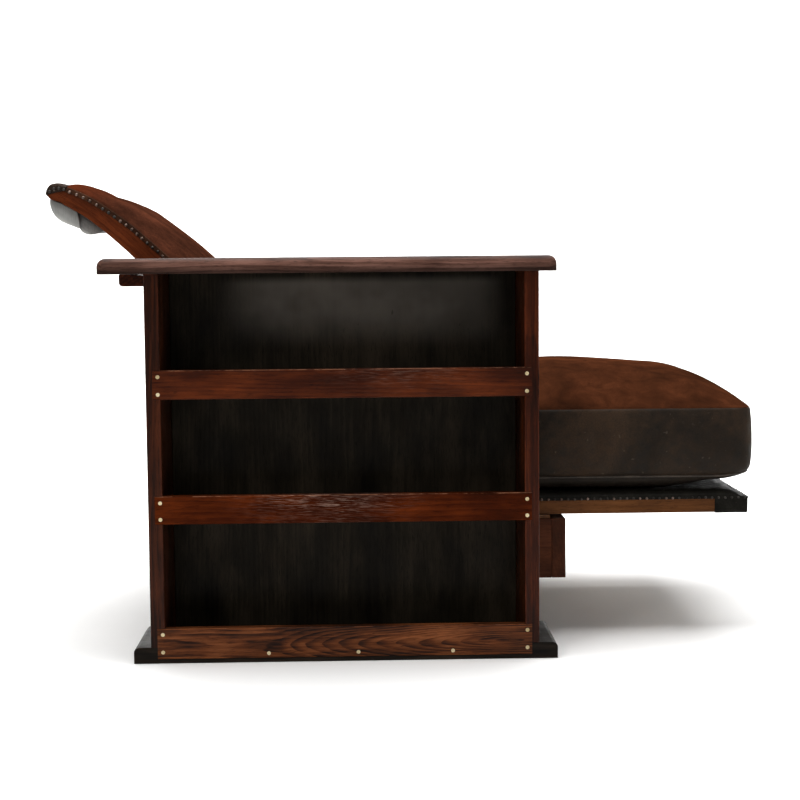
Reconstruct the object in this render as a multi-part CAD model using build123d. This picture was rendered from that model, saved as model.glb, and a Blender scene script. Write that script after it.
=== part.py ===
from build123d import *
import os
import math

# Mission reclining armchair: two three-tier bookcases carry the arms, a seat
# frame slides forward between them and the hinged back leans on a rear cross
# rail, so the back reclines as the seat is drawn out. Shown drawn out.
#
# Lengths in millimetres. +X is the way the sitter looks, +Y is the sitter's
# left, +Z is up. Z = 0 is the floor and Y = 0 the chair's centre plane.
# The dimensions below are measured from the rear face of the rear uprights
# (X = 0); MID_X moves the whole chair so that its origin is the middle of
# its footprint box.

os.makedirs("parts", exist_ok=True)

# ------------------------------------------------------------ dimensions
MID_X = 393.35           # middle of the overall length, from the rear uprights

# bookcases under the arms
Y_IN = 265.0             # inner face of a bookcase
Y_OUT = 410.0            # outer face of a bookcase
UP_REAR = (0.0, 21.5)    # rear upright, X
UP_FRONT = (557.0, 578.5)
PLINTH_X = (-25.5, 606.0)
PLINTH_T = 24.0
ARM_X = (-68.5, 605.5)
ARM_Y = (262.0, 415.0)
ARM_Z = (577.0, 600.0)
ARM_ROUND = 12.5
PANEL_T = 8.0
SHELF_T = 16.0
RAIL_X = (10.0, 567.5)   # face rails, let into the uprights
RAIL_T = 16.0
RAIL_Z = {"top": (393.0, 436.0), "middle": (208.0, 250.0), "bottom": (6.0, 52.0)}
SHELF_TOP = {"upper": 411.0, "middle": 226.0}
SCREW_X = (18.0, 560.5)
SCREW_Z = {"top": (426.5, 400.5), "middle": (240.0, 215.5), "bottom": (43.0, 16.5)}
SCREW_MID = ((174.8, 13.3), (308.0, 13.3), (449.0, 13.3))
SCREW_HEAD_R = 2.9
SCREW_SHANK_R = 1.7
SCREW_L = 26.0

# pieces that join the bookcases
CROSS_Y = 330.0
SUB_X = (20.0, 614.0)
SUB_T = 22.0
SUB_Z = (93.0, 187.0)
STRIP_TOP = 192.7
CLEAT_Z = (140.0, 160.0)
CLEAT_T = 18.0

# sliding seat
SEAT_X = (369.0, 925.0)
SEAT_Y = 256.0
SEAT_Z = (193.0, 217.0)
SEAT_RAIL_W = 50.0
SEAT_SIDE_W = 60.0
LEATHER_T = 1.5
PLATFORM_X0 = 400.0
PLATFORM_TOP = 227.7
TRAVEL = 240.0           # how far the seat slides back to sit upright
NAIL_R = 2.75
NAIL_H = 1.6
NAIL_PITCH = 10.4
CUSHION_Z = (228.0, 428.0)
CUSHION_Y = 256.0

# hinged back
HINGE = (365.0, 221.0)   # pivot axis, X and Z
BACK_Y = 255.0
STILE_W = 23.0
HINGE_Y = 150.0
HINGE_W = 60.0
LEAF_L = 25.0            # a hinge leaf, from the pivot; it ends short of the pad
PIN_R = 2.0
PIN_CLEAR = 0.05
# rear edge of the curved stiles from the top end to the foot, X and Z
REAR_EDGE = [(-166.0, 695.5), (-120.9, 674.0), (-78.5, 643.0), (-31.7, 600.5),
             (66.5, 505.9), (160.0, 407.1), (248.9, 304.1), (333.1, 196.9)]
# depth of the stiles from that edge to their front, along the edge
STILE_DEPTH = [(0.0, 23.0), (28.0, 26.0), (60.0, 29.3), (90.0, 31.0), (130.0, 34.3),
               (190.0, 36.2), (400.0, 36.2), (620.0, 35.8), (720.0, 35.8)]
TOP_RAIL_S = 27.0        # length of the top rail along the back
CREASE_S = 56.0          # seam between head pad and main pad
CROSS_S = (102.0, 138.0) # cross rail behind the pads


# ------------------------------------------------------------ helpers
def box(x, y, z, r=0.0):
    """A board between two corners, its edges eased by r."""
    b = Pos((x[0] + x[1]) / 2, (y[0] + y[1]) / 2, (z[0] + z[1]) / 2) * Box(
        x[1] - x[0], y[1] - y[0], z[1] - z[0])
    if r > 0:
        b = fillet(b.edges(), r)
    return b


def ends(a, b, side):
    """A Y range given for the left side, mirrored for the right one."""
    return (a, b) if side > 0 else (-b, -a)


def lerp(table, s):
    if s <= table[0][0]:
        return table[0][1]
    for (a, va), (b, vb) in zip(table, table[1:]):
        if s <= b:
            return va + (vb - va) * (s - a) / (b - a)
    return table[-1][1]


rear_edge = Spline(*[Vector(x, 0, z) for x, z in REAR_EDGE])
BACK_L = rear_edge.length


def bp(s, v, y=0.0):
    """Point of the back: s along the rear edge from the top, v towards the sitter."""
    sc = min(max(s, 0.0), BACK_L)
    p = rear_edge.position_at(sc, position_mode=PositionMode.LENGTH)
    t = rear_edge.tangent_at(sc, position_mode=PositionMode.LENGTH)
    p = p + t * (s - sc)
    n = Vector(-t.Z, 0, t.X)
    return Vector(p.X + n.X * v, y, p.Z + n.Z * v)


def depth(s):
    return lerp(STILE_DEPTH, s)


def steps(a, b, n):
    return [a + (b - a) * i / (n - 1) for i in range(n)]


def curved(s0, s1, low, high, y0, y1, n=14):
    """A piece that follows the back from s0 to s1 between two offsets."""
    ss = steps(s0, s1, n)
    lo = [bp(s, low(s), y0) for s in ss]
    hi = [bp(s, high(s), y0) for s in ss]
    e = [Edge.make_spline(lo), Edge.make_line(lo[-1], hi[-1]),
         Edge.make_spline(hi), Edge.make_line(hi[0], lo[0])]
    return Solid.extrude(Face(Wire(e)), Vector(0, y1 - y0, 0))


def slab(s0, s1, v0, v1, y0, y1):
    """A straight rail across the back, square to it at its middle."""
    m = (s0 + s1) / 2
    h = (s1 - s0) / 2
    p = rear_edge.position_at(m, position_mode=PositionMode.LENGTH)
    t = rear_edge.tangent_at(m, position_mode=PositionMode.LENGTH)
    n = Vector(-t.Z, 0, t.X)
    pts = []
    for a, b in ((-h, v0), (h, v0), (h, v1), (-h, v1)):
        q = p + t * a + n * b
        pts.append(Vector(q.X, y0, q.Z))
    return Solid.extrude(Face(Wire.make_polygon(pts, close=True)), Vector(0, y1 - y0, 0))


def prism_xz(pts, y0, y1, radii=None):
    v = [Vector(x, y0, z) for x, z in pts]
    if radii:
        w = FilletPolyline(*v, radius=radii, close=True)
        f = make_face(w)
        f = f.face() if hasattr(f, "face") else f
    else:
        f = Face(Wire.make_polygon(v, close=True))
    return Solid.extrude(f, Vector(0, y1 - y0, 0))


def prism_yz(pts, x0, x1):
    v = [Vector(x0, y, z) for y, z in pts]
    return Solid.extrude(Face(Wire.make_polygon(v, close=True)), Vector(x1 - x0, 0, 0))


def one(shape):
    """The single solid inside a boolean result."""
    s = shape.solids()
    return s[0] if len(s) == 1 else Compound(children=list(s))


def dome(p, axis, r=NAIL_R, h=NAIL_H):
    """A round nailhead that sits on a surface and faces along axis."""
    big = (r * r + h * h) / (2 * h)
    pl = Plane(origin=p, z_dir=axis)
    ball = pl * Pos(0, 0, h - big) * Sphere(big)
    cut = pl * Pos(0, 0, -big) * Box(4 * big, 4 * big, 2 * big)
    return (ball - cut).solids()[0]


nodes = {}


def keep(name, shape):
    nodes[name] = shape


# ------------------------------------------------------------ bookcases
for side, tag in ((-1, "right"), (1, "left")):
    out = Y_OUT * side

    # arm board, top edges rounded over
    arm = box(ARM_X, ends(ARM_Y[0], ARM_Y[1], side), ARM_Z)
    arm = fillet(arm.edges().filter_by(Axis.Z), 14.0)
    arm = fillet(arm.faces().sort_by(Axis.Z)[-1].edges(), ARM_ROUND)
    arm = fillet(arm.faces().sort_by(Axis.Z)[0].edges(), 1.5)

    # uprights, with the sockets of the face rails
    rear = box(UP_REAR, ends(Y_IN, Y_OUT, side), (PLINTH_T, ARM_Z[0]))
    rear = fillet(rear.edges().filter_by(Axis.Z), 2.0)
    front = box(UP_FRONT, ends(Y_IN, Y_OUT, side), (PLINTH_T, ARM_Z[0]))
    front = fillet(front.edges().filter_by(Axis.Z), 2.0)

    # base board, rounded over at both ends
    base = box(PLINTH_X, ends(Y_IN - 3.0, Y_OUT, side), (0.0, PLINTH_T))
    top_ends = base.faces().sort_by(Axis.Z)[-1].edges().filter_by(Axis.Y)
    base = fillet(top_ends, 8.0)
    base = fillet(base.edges().filter_by(Axis.X), 1.2)

    rails = {}
    for k, z in RAIL_Z.items():
        full = box(RAIL_X, ends(Y_OUT - RAIL_T, Y_OUT, side), z)
        rear = rear - full
        front = front - full
        if k == "bottom":
            base = base - full
        rails[k] = fillet(full.edges().filter_by(Axis.X), 1.6)

    # brass screws through the face rails
    screws = []
    where = [(x, z) for k in SCREW_Z for z in SCREW_Z[k] for x in SCREW_X] + list(SCREW_MID)
    turn = 0
    for x, z in where:
        pl = Plane(origin=(x, out, z), z_dir=(0, side, 0))
        head = pl * Pos(0, 0, -0.9) * Cylinder(SCREW_HEAD_R, 2.6)
        shank = pl * Pos(0, 0, -2.2 - (SCREW_L - 2.2) / 2) * Cylinder(SCREW_SHANK_R, SCREW_L - 2.2)
        body = (head + shank).solids()[0]
        hole = body
        turn += 37
        slot = pl * Rot(0, 0, turn) * Pos(0, 0, 0.2) * Box(7.0, 0.8, 1.2)
        screws.append((body - slot).solids()[0])
        for k in rails:
            if RAIL_Z[k][0] - 5 < z < RAIL_Z[k][1] + 5:
                rails[k] = rails[k] - hole
        if x < 100:
            rear = rear - hole
        elif x > 500:
            front = front - hole
        if z < PLINTH_T + 6:
            base = base - hole

    inner = box((UP_REAR[1], UP_FRONT[0]), ends(Y_IN, Y_IN + PANEL_T, side),
                (PLINTH_T, ARM_Z[0]))
    for k, top in SHELF_TOP.items():
        sh = box((UP_REAR[1], UP_FRONT[0]), ends(Y_IN + PANEL_T, Y_OUT - RAIL_T, side),
                 (top - SHELF_T, top))
        sh = fillet(sh.edges().filter_by(Axis.X), 1.0)
        keep(f"{tag}_{k}_shelf", sh)

    # screws of the rear cross rail, from below into the arm
    cross_screws = []
    for yy in (290.0, 316.0):
        pl = Plane(origin=(-26.0, yy * side, 558.5), z_dir=(0, 0, -1))
        b = pl * Pos(0, 0, -1.5) * Cylinder(4.0, 3.0) + pl * Pos(0, 0, -17.0) * Cylinder(2.0, 30.0)
        cross_screws.append(b.solids()[0])
        arm = arm - b
    nodes.setdefault("cross_rail_screws", []).extend(cross_screws)

    keep(f"{tag}_arm_board", arm)
    keep(f"{tag}_rear_upright", rear)
    keep(f"{tag}_front_upright", front)
    keep(f"{tag}_base_board", base)
    keep(f"{tag}_inner_panel", inner)
    for k in rails:
        keep(f"{tag}_{k}_rail", rails[k])
    keep(f"{tag}_rail_screws", Compound(children=screws))

# ------------------------------------------------------------ joining pieces
cross = prism_xz([(-47.0, 558.5), (-6.5, 558.5), (-5.0, 573.0), (-38.0, 577.0), (-47.0, 577.0)],
                 -CROSS_Y, CROSS_Y)
edges_y = cross.edges().filter_by(Axis.Y)
near = lambda x, z: min(edges_y, key=lambda e: (e.center().X - x) ** 2 + (e.center().Z - z) ** 2)
cross = fillet([near(-47.0, 558.5)], 6.0)
edges_y = cross.edges().filter_by(Axis.Y)
cross = fillet([near(-47.0, 577.0)], 3.0)
edges_y = cross.edges().filter_by(Axis.Y)
cross = fillet([near(-5.0, 573.0)], 2.5)
edges_y = cross.edges().filter_by(Axis.Y)
cross = fillet([near(-6.5, 558.5)], 2.5)
for b in nodes["cross_rail_screws"]:
    cross = cross - b
keep("rear_cross_rail", cross)
nodes["cross_rail_screws"] = Compound(children=nodes["cross_rail_screws"])

for side, tag in ((-1, "right"), (1, "left")):
    keep(f"{tag}_subframe_rail", box(SUB_X, ends(Y_IN - SUB_T, Y_IN, side), SUB_Z, 1.2))
    keep(f"{tag}_slide_strip", box((22.0, 612.0), ends(Y_IN - 20.0, Y_IN - 2.0, side),
                                   (SUB_Z[1], STRIP_TOP)))
    keep(f"{tag}_guide_cleat", box((42.0, 612.0), ends(Y_IN - SUB_T - CLEAT_T, Y_IN - SUB_T, side),
                                   CLEAT_Z, 1.0))
    stops = [box(x, ends(Y_IN - SUB_T - CLEAT_T, Y_IN - SUB_T, side), (112.0, CLEAT_Z[0]))
             for x in ((440.6, 462.0), (118.0, 139.4))]
    keep(f"{tag}_travel_stops", Compound(children=[s.solids()[0] for s in stops]))
keep("front_apron", box((SUB_X[1], SUB_X[1] + SUB_T), (-Y_IN, Y_IN), SUB_Z, 1.2))
keep("rear_stretcher", box((SUB_X[0], SUB_X[0] + SUB_T), (-Y_IN + SUB_T, Y_IN - SUB_T), SUB_Z))

# ------------------------------------------------------------ sliding seat
x0, x1 = SEAT_X
for side, tag in ((-1, "right"), (1, "left")):
    keep(f"{tag}_seat_rail", box((x0 + SEAT_RAIL_W, x1 - SEAT_RAIL_W),
                                 ends(SEAT_Y - SEAT_SIDE_W, SEAT_Y, side), SEAT_Z, 1.0))
    y = SEAT_Y
    pts = [(202.0, 193.0), (222.0, 193.0), (222.0, 139.6), (241.0, 139.6), (241.0, 116.0),
           (202.0, 116.0)]
    keep(f"{tag}_hold_down", prism_yz([(a * side, b) for a, b in pts], 380.0, 440.0))
keep("seat_front_rail", box((x1 - SEAT_RAIL_W, x1), (-SEAT_Y, SEAT_Y), SEAT_Z))
keep("seat_rear_rail", box((x0, x0 + SEAT_RAIL_W), (-SEAT_Y, SEAT_Y), SEAT_Z, 1.0))

# webbing across the frame's opening, one layer each way
ox = (x0 + SEAT_RAIL_W, x1 - SEAT_RAIL_W)
oy = SEAT_Y - SEAT_SIDE_W
straps = []
for i in range(5):
    c = -oy + (2 * oy) * (i + 0.5) / 5
    straps.append(box(ox, (c - 25.0, c + 25.0), (213.0, 214.8)))
for i in range(6):
    c = ox[0] + (ox[1] - ox[0]) * (i + 0.5) / 6
    straps.append(box((c - 25.0, c + 25.0), (-oy, oy), (211.2, 213.0)))
keep("seat_webbing", Compound(children=[s.solids()[0] for s in straps]))

# leather platform: a low pad over the frame, its sides turned down and nailed
L = LEATHER_T
pad_low = box((PLATFORM_X0, x1 + L), (-SEAT_Y - L, SEAT_Y + L), (SEAT_Z[1], 221.5))
pad_top = loft([Plane(origin=((PLATFORM_X0 + x1 + L) / 2, 0, 221.5)) *
                Rectangle(x1 + L - PLATFORM_X0, 2 * SEAT_Y + 2 * L),
                Plane(origin=((PLATFORM_X0 + x1 + L) / 2, 0, PLATFORM_TOP)) *
                Rectangle(x1 + L - PLATFORM_X0 - 50, 2 * SEAT_Y + 2 * L - 50)])
platform = pad_low + pad_top
for side in (-1, 1):
    platform = platform + box((PLATFORM_X0, x1 - SEAT_RAIL_W),
                              ends(SEAT_Y, SEAT_Y + L, side), (212.5, SEAT_Z[1] + 1))
keep("platform_leather", one(platform))
wrap = (box((x1 - SEAT_RAIL_W, x1 + L), (-SEAT_Y - L, SEAT_Y + L), (SEAT_Z[0] - L, SEAT_Z[1]))
        - box((x1 - SEAT_RAIL_W - 5, x1), (-SEAT_Y, SEAT_Y), (SEAT_Z[0], SEAT_Z[1] + 5)))
keep("front_rail_wrap", one(wrap))

nails = []
for side in (-1, 1):
    n = int((x1 - PLATFORM_X0 - 8) / NAIL_PITCH) + 1
    for i in range(n):
        nails.append(dome((x1 - 3.5 - i * NAIL_PITCH, side * (SEAT_Y + L), 216.4), (0, side, 0)))
n = int(2 * (SEAT_Y - 4) / NAIL_PITCH) + 1
p = 2 * (SEAT_Y - 4) / (n - 1)
for i in range(n):
    nails.append(dome((x1 + L, -SEAT_Y + 4 + i * p, 216.4), (1, 0, 0)))
keep("seat_nails", Compound(children=nails))

# loose box cushion: crowned in length and in width
zb, zt = CUSHION_Z
prof_x = [(403.0, 250.0), (415.0, zb), (905.0, zb), (938.0, 246.0), (950.0, 262.0), (953.0, 310.0),
          (950.0, 356.0)]
crown_x = [(950.0, 356.0), (905.0, 386.0), (840.0, 409.0), (750.0, 424.0), (640.0, zt),
           (530.0, 422.0), (450.0, 400.0), (403.0, 362.0)]
e = []
pv = [Vector(a, -CUSHION_Y - 10, b) for a, b in prof_x]
for a, b in zip(pv, pv[1:]):
    e.append(Edge.make_line(a, b))
cv = [Vector(a, -CUSHION_Y - 10, b) for a, b in crown_x]
e.append(Edge.make_spline(cv))
e.append(Edge.make_line(cv[-1], pv[0]))
long_form = Solid.extrude(Face(Wire(e)), Vector(0, 2 * CUSHION_Y + 20, 0))
w = CUSHION_Y
e = []
pv = [Vector(380, a, b) for a, b in [(-w, 358.0), (-w, 252.0), (-w + 14, zb), (w - 14, zb),
                                     (w, 252.0), (w, 358.0)]]
for a, b in zip(pv, pv[1:]):
    e.append(Edge.make_line(a, b))
cv = [Vector(380, a, b) for a, b in [(w, 358.0), (w - 45, 392.0), (w - 130, 420.0), (0, zt),
                                     (-w + 130, 420.0), (-w + 45, 392.0), (-w, 358.0)]]
e.append(Edge.make_spline(cv))
wide_form = Solid.extrude(Face(Wire(e)), Vector(620, 0, 0))
keep("seat_cushion", one(long_form & wide_form))

# ------------------------------------------------------------ hinged back
top_s = TOP_RAIL_S
for side, tag in ((-1, "right"), (1, "left")):
    y = ends(BACK_Y - STILE_W, BACK_Y, side)
    stile = curved(top_s, BACK_L, lambda s: 0.0, depth, y[0], y[1], 18)
    keep(f"{tag}_back_stile", stile)

# top rail across the stiles' ends, its nose rounded
nose = [(top_s, 0.0), (12.0, 0.0), (3.0, 1.2), (-0.5, 6.0), (-1.2, 12.0), (0.5, 17.5),
        (5.0, 21.5), (12.0, 23.8), (top_s, 25.9)]
tr = [bp(s, v, -BACK_Y) for s, v in nose]
top_face = Face(Wire([Edge.make_spline(tr), Edge.make_line(tr[-1], tr[0])]))
top_rail = Solid.extrude(top_face, Vector(0, 2 * BACK_Y, 0))
keep("back_top_rail", top_rail)
cover_line = [(top_s - 0.5, -1.6), (12.0, -1.6), (2.4, -0.3), (-2.0, 5.0), (-2.8, 12.2),
              (-1.0, 18.5), (4.0, 23.0), (11.6, 25.4), (top_s - 0.5, 27.4)]
cl = [bp(s, v, -BACK_Y - L) for s, v in cover_line]
cover_face = Face(Wire([Edge.make_spline(cl), Edge.make_line(cl[-1], cl[0])]))
cover = Solid.extrude(cover_face, Vector(0, 2 * BACK_Y + 2 * L, 0)) - top_rail
keep("top_rail_wrap", one(cover))

inner_y = BACK_Y - STILE_W
keep("back_cross_rail", slab(CROSS_S[0], CROSS_S[1], 5.0, 25.0, -inner_y, inner_y))
keep("back_bottom_rail", curved(BACK_L - 62.0, BACK_L, lambda s: 4.0, depth, -inner_y, inner_y, 8))

# webbing that carries the pads, between the stiles
bands = []
s_a, s_b = CROSS_S[1] + 4.0, BACK_L - 66.0
for i in range(7):
    c = s_a + (s_b - s_a) * (i + 0.5) / 7
    bands.append(slab(c - 25.0, c + 25.0, depth(c) - 4.6, depth(c) - 2.8, -inner_y, inner_y))
for i in range(5):
    c = -inner_y + 2 * inner_y * (i + 0.5) / 5
    bands.append(curved(s_a - 2, s_b + 2, lambda s: depth(s) - 2.4, lambda s: depth(s) - 0.8,
                        c - 25.0, c + 25.0, 12))
keep("back_webbing", Compound(children=[b.solids()[0] for b in bands]))

# pads over the stiles' front edges, with leather turned down over their sides
HEAD_PAD = [(28.4, 35.0), (34.0, 37.4), (44.0, 38.4), (50.0, 38.0), (55.6, 35.5)]
MAIN_PAD = [(56.4, 37.0), (63.0, 43.5), (76.0, 49.5), (93.0, 54.0), (120.0, 58.7), (159.0, 65.0),
            (202.0, 68.7), (300.0, 70.5), (420.0, 72.0), (540.0, 74.0), (610.0, 73.0),
            (660.0, 66.0), (684.0, 52.0)]
pad_end = BACK_L - 26.0
PAD_GAP = 0.4            # between the pads and the frame they lie on


def pad(line, s0, s1):
    sc = [(s0 + (s1 - s0) * (s - line[0][0]) / (line[-1][0] - line[0][0]), v) for s, v in line]
    lo = [bp(s, depth(s) + PAD_GAP, -BACK_Y) for s in steps(s0, s1, 14)]
    hi = [bp(s, v, -BACK_Y) for s, v in sc]
    e = [Edge.make_spline(lo), Edge.make_line(lo[-1], hi[-1]), Edge.make_spline(hi),
         Edge.make_line(hi[0], lo[0])]
    p = Solid.extrude(Face(Wire(e)), Vector(0, 2 * BACK_Y, 0))
    for side in (-1, 1):
        y = ends(BACK_Y, BACK_Y + L, side)
        p = p + curved(s0, s1, lambda s: depth(s) - 7.5, lambda s: depth(s) + 4.0, y[0], y[1], 10)
    return one(p)


keep("head_pad", pad(HEAD_PAD, 28.4, 55.6))
keep("main_pad", pad(MAIN_PAD, 56.2, pad_end))

# canvas that hangs below the head section, and the flat lining of the lower back
BULGE = [(5.0, -3.0), (9.0, -9.5), (14.0, -15.5), (24.0, -22.5), (35.0, -25.3), (50.0, -24.2),
         (68.0, -21.5), (79.0, -20.6), (89.0, -17.0), (95.0, -9.2), (98.8, -1.0)]
bl = [bp(s, v, -250.0) for s, v in BULGE]
ul = [bp(s, -2.8 if s < top_s + 3 else -0.6, -250.0) for s in steps(98.8, 5.0, 24)]
ul[0] = bl[-1]
ul[-1] = bl[0]
hang = Face(Wire([Edge.make_spline(bl), Edge.make_spline(ul)]))
keep("head_lining", Solid.extrude(hang, Vector(0, 500.0, 0)))
keep("back_lining", curved(CROSS_S[1] + 1.0, BACK_L - 64.0, lambda s: 1.0, lambda s: 2.6,
                           -inner_y, inner_y, 12))

nails = []
for side in (-1, 1):
    s = 28.3
    while s < pad_end - 4:
        q = bp(s, depth(s) - 4.4, side * (BACK_Y + L))
        nails.append(dome((q.X, q.Y, q.Z), (0, side, 0)))
        s += NAIL_PITCH
keep("back_nails", Compound(children=nails))

# ------------------------------------------------------------ hinges
hx, hz = HINGE
t_end = rear_edge.tangent_at(BACK_L, position_mode=PositionMode.LENGTH)
up = Vector(-t_end.X, 0, -t_end.Z)            # along the back, away from the pivot
out_v = Vector(-t_end.Z, 0, t_end.X)          # towards the sitter
seat_leaves, back_leaves, pins = [], [], []
for yc in (-HINGE_Y, HINGE_Y):
    y0, y1 = yc - HINGE_W / 2, yc + HINGE_W / 2
    cuts = [y0, y0 + 12, y0 + 24, y0 + 36, y0 + 48, y1]
    bore = Pos(hx, yc, hz) * Rot(90, 0, 0) * Cylinder(PIN_R + PIN_CLEAR, HINGE_W + 2)
    seat_leaf = box((hx, hx + LEAF_L), (y0, y1), (hz - 4.0, hz - 2.0))
    back_pts = []
    for a, b in ((0.0, -4.0), (LEAF_L, -4.0), (LEAF_L, -2.0), (0.0, -2.0)):
        q = Vector(hx, 0, hz) + up * a + out_v * b
        back_pts.append((q.X, q.Z))
    back_leaf = prism_xz(back_pts, y0, y1)
    for i in range(5):
        a, b = cuts[i] + 0.2, cuts[i + 1] - 0.2
        if i == 0:
            a = y0
        if i == 4:
            b = y1
        knuckle = Pos(hx, (a + b) / 2, hz) * Rot(90, 0, 0) * Cylinder(4.0, b - a)
        clear = Pos(hx, (cuts[i] + cuts[i + 1]) / 2, hz) * Rot(90, 0, 0) * Cylinder(
            4.3, cuts[i + 1] - cuts[i])
        if i % 2 == 0:
            seat_leaf = seat_leaf + knuckle
            back_leaf = back_leaf - clear
        else:
            back_leaf = back_leaf + knuckle
            seat_leaf = seat_leaf - clear
    seat_leaves.append(one(seat_leaf - bore))
    back_leaves.append(one(back_leaf - bore))
    pins.append((Pos(hx, yc, hz) * Rot(90, 0, 0) * Cylinder(PIN_R, HINGE_W)).solids()[0])
keep("hinge_seat_leaves", Compound(children=seat_leaves))
keep("hinge_back_leaves", Compound(children=back_leaves))
keep("hinge_pins", Compound(children=pins))

# ------------------------------------------------------------ write
lo = [1e9] * 3
hi = [-1e9] * 3
for name, shape in nodes.items():
    moved = Pos(-MID_X, 0, 0) * shape
    export_step(moved, f"parts/{name}.step")
    bb = moved.bounding_box()
    for i, (a, b) in enumerate(zip((bb.min.X, bb.min.Y, bb.min.Z), (bb.max.X, bb.max.Y, bb.max.Z))):
        lo[i] = min(lo[i], a)
        hi[i] = max(hi[i], b)
print(len(nodes), "nodes; box", [round(v, 2) for v in lo], [round(v, 2) for v in hi])
print("middle of length", round((lo[0] + hi[0]) / 2, 3), "back length", round(BACK_L, 2))
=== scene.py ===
import math

import bmesh
import bpy
import numpy as np
from mathutils import Matrix, Vector


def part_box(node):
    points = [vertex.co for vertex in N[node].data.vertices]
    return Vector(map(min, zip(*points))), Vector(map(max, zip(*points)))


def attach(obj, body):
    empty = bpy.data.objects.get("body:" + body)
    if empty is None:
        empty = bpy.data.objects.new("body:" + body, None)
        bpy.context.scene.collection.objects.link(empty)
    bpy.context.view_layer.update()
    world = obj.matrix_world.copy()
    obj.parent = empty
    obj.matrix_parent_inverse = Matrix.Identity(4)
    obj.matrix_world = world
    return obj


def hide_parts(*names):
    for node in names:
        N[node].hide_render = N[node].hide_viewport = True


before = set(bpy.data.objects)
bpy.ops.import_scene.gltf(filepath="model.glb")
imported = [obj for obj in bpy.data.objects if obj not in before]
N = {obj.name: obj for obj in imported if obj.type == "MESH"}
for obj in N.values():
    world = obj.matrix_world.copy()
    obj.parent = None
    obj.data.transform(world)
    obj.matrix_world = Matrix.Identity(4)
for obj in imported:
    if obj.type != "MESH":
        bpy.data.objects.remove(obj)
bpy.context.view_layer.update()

# Mission reclining armchair. Lengths in the tables below are millimetres in
# the same measure as the parts: X from the rear face of the rear uprights,
# Y from the centre plane, Z from the floor. W() turns them into the frame.
OX = 393.35


def W(x, y, z):
    return np.stack(np.broadcast_arrays((np.asarray(x, float) - OX) / 1000.0,
                                        np.asarray(y, float) / 1000.0,
                                        np.asarray(z, float) / 1000.0), -1)


# ---------------------------------------------------------------- the back's curve
BACK_L = 710.665
CURVE = np.array([
    (-166.0, 695.5, 0.9469, -0.3216), (-147.65, 688.25, 0.9116, -0.4111), (-130.03, 679.35, 0.873, -0.4877),
    (-113.18, 669.08, 0.835, -0.5502), (-97.04, 657.72, 0.8007, -0.5991), (-81.53, 645.51, 0.7719, -0.6358),
    (-66.52, 632.69, 0.7496, -0.6619), (-51.89, 619.44, 0.7345, -0.6787), (-37.47, 605.95, 0.7272, -0.6864),
    (-23.13, 592.39, 0.7266, -0.6871), (-8.79, 578.82, 0.7258, -0.6879), (5.52, 565.23, 0.7241, -0.6897),
    (19.79, 551.59, 0.7215, -0.6924), (34.0, 537.88, 0.718, -0.696), (48.14, 524.1, 0.7137, -0.7005),
    (62.17, 510.22, 0.7084, -0.7059), (76.1, 496.23, 0.7024, -0.7118), (89.91, 482.12, 0.6965, -0.7175),
    (103.6, 467.9, 0.6909, -0.7229), (117.19, 453.58, 0.6855, -0.728), (130.67, 439.16, 0.6804, -0.7329),
    (144.05, 424.65, 0.6754, -0.7374), (157.34, 410.05, 0.6707, -0.7417), (170.53, 395.37, 0.6662, -0.7458),
    (183.64, 380.6, 0.6615, -0.75), (196.65, 365.76, 0.6567, -0.7541), (209.56, 350.83, 0.6518, -0.7584),
    (222.38, 335.81, 0.6468, -0.7626), (235.1, 320.72, 0.6417, -0.7669), (247.72, 305.53, 0.6365, -0.7713),
    (260.23, 290.27, 0.6312, -0.7756), (272.64, 274.91, 0.6259, -0.7799), (284.94, 259.47, 0.6206, -0.7842),
    (297.14, 243.95, 0.6152, -0.7883), (309.23, 228.35, 0.6099, -0.7925), (321.22, 212.66, 0.6046, -0.7966),
    (333.1, 196.9, 0.5992, -0.8006)])
DEPTH = np.array([(0.0, 23.0), (28.0, 26.0), (60.0, 29.3), (90.0, 31.0), (130.0, 34.3),
                  (190.0, 36.2), (400.0, 36.2), (620.0, 35.8), (720.0, 35.8)])


def depth(s):
    return np.interp(s, DEPTH[:, 0], DEPTH[:, 1])


def edge_at(s):
    """Point and tangent of the back's rear edge, s from its top end."""
    s = np.asarray(s, float)
    n = len(CURVE) - 1
    h = BACK_L / n
    sc = np.clip(s, 0.0, BACK_L)
    k = np.minimum((sc / h).astype(int), n - 1)
    u = sc / h - k
    a, b = CURVE[k], CURVE[k + 1]
    h00, h10 = 2 * u**3 - 3 * u**2 + 1, u**3 - 2 * u**2 + u
    h01, h11 = -2 * u**3 + 3 * u**2, u**3 - u**2
    x = h00 * a[..., 0] + h10 * h * a[..., 2] + h01 * b[..., 0] + h11 * h * b[..., 2]
    z = h00 * a[..., 1] + h10 * h * a[..., 3] + h01 * b[..., 1] + h11 * h * b[..., 3]
    tx = a[..., 2] + (b[..., 2] - a[..., 2]) * u
    tz = a[..., 3] + (b[..., 3] - a[..., 3]) * u
    q = np.hypot(tx, tz)
    tx, tz = tx / q, tz / q
    return x + tx * (s - sc), z + tz * (s - sc), tx, tz


def bp(s, v, y):
    """Point of the back: s down the rear edge, v towards the sitter, y across."""
    x, z, tx, tz = edge_at(s)
    return W(x - tz * v, y, z + tx * v)


def smooth(a, b, x):
    t = np.clip((np.asarray(x, float) - a) / (b - a), 0, 1)
    return t * t * (3 - 2 * t)


# ---------------------------------------------------------------- repeatable noise
RNG = np.random.RandomState(11)
LATTICE = RNG.rand(32, 32, 32)


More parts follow.
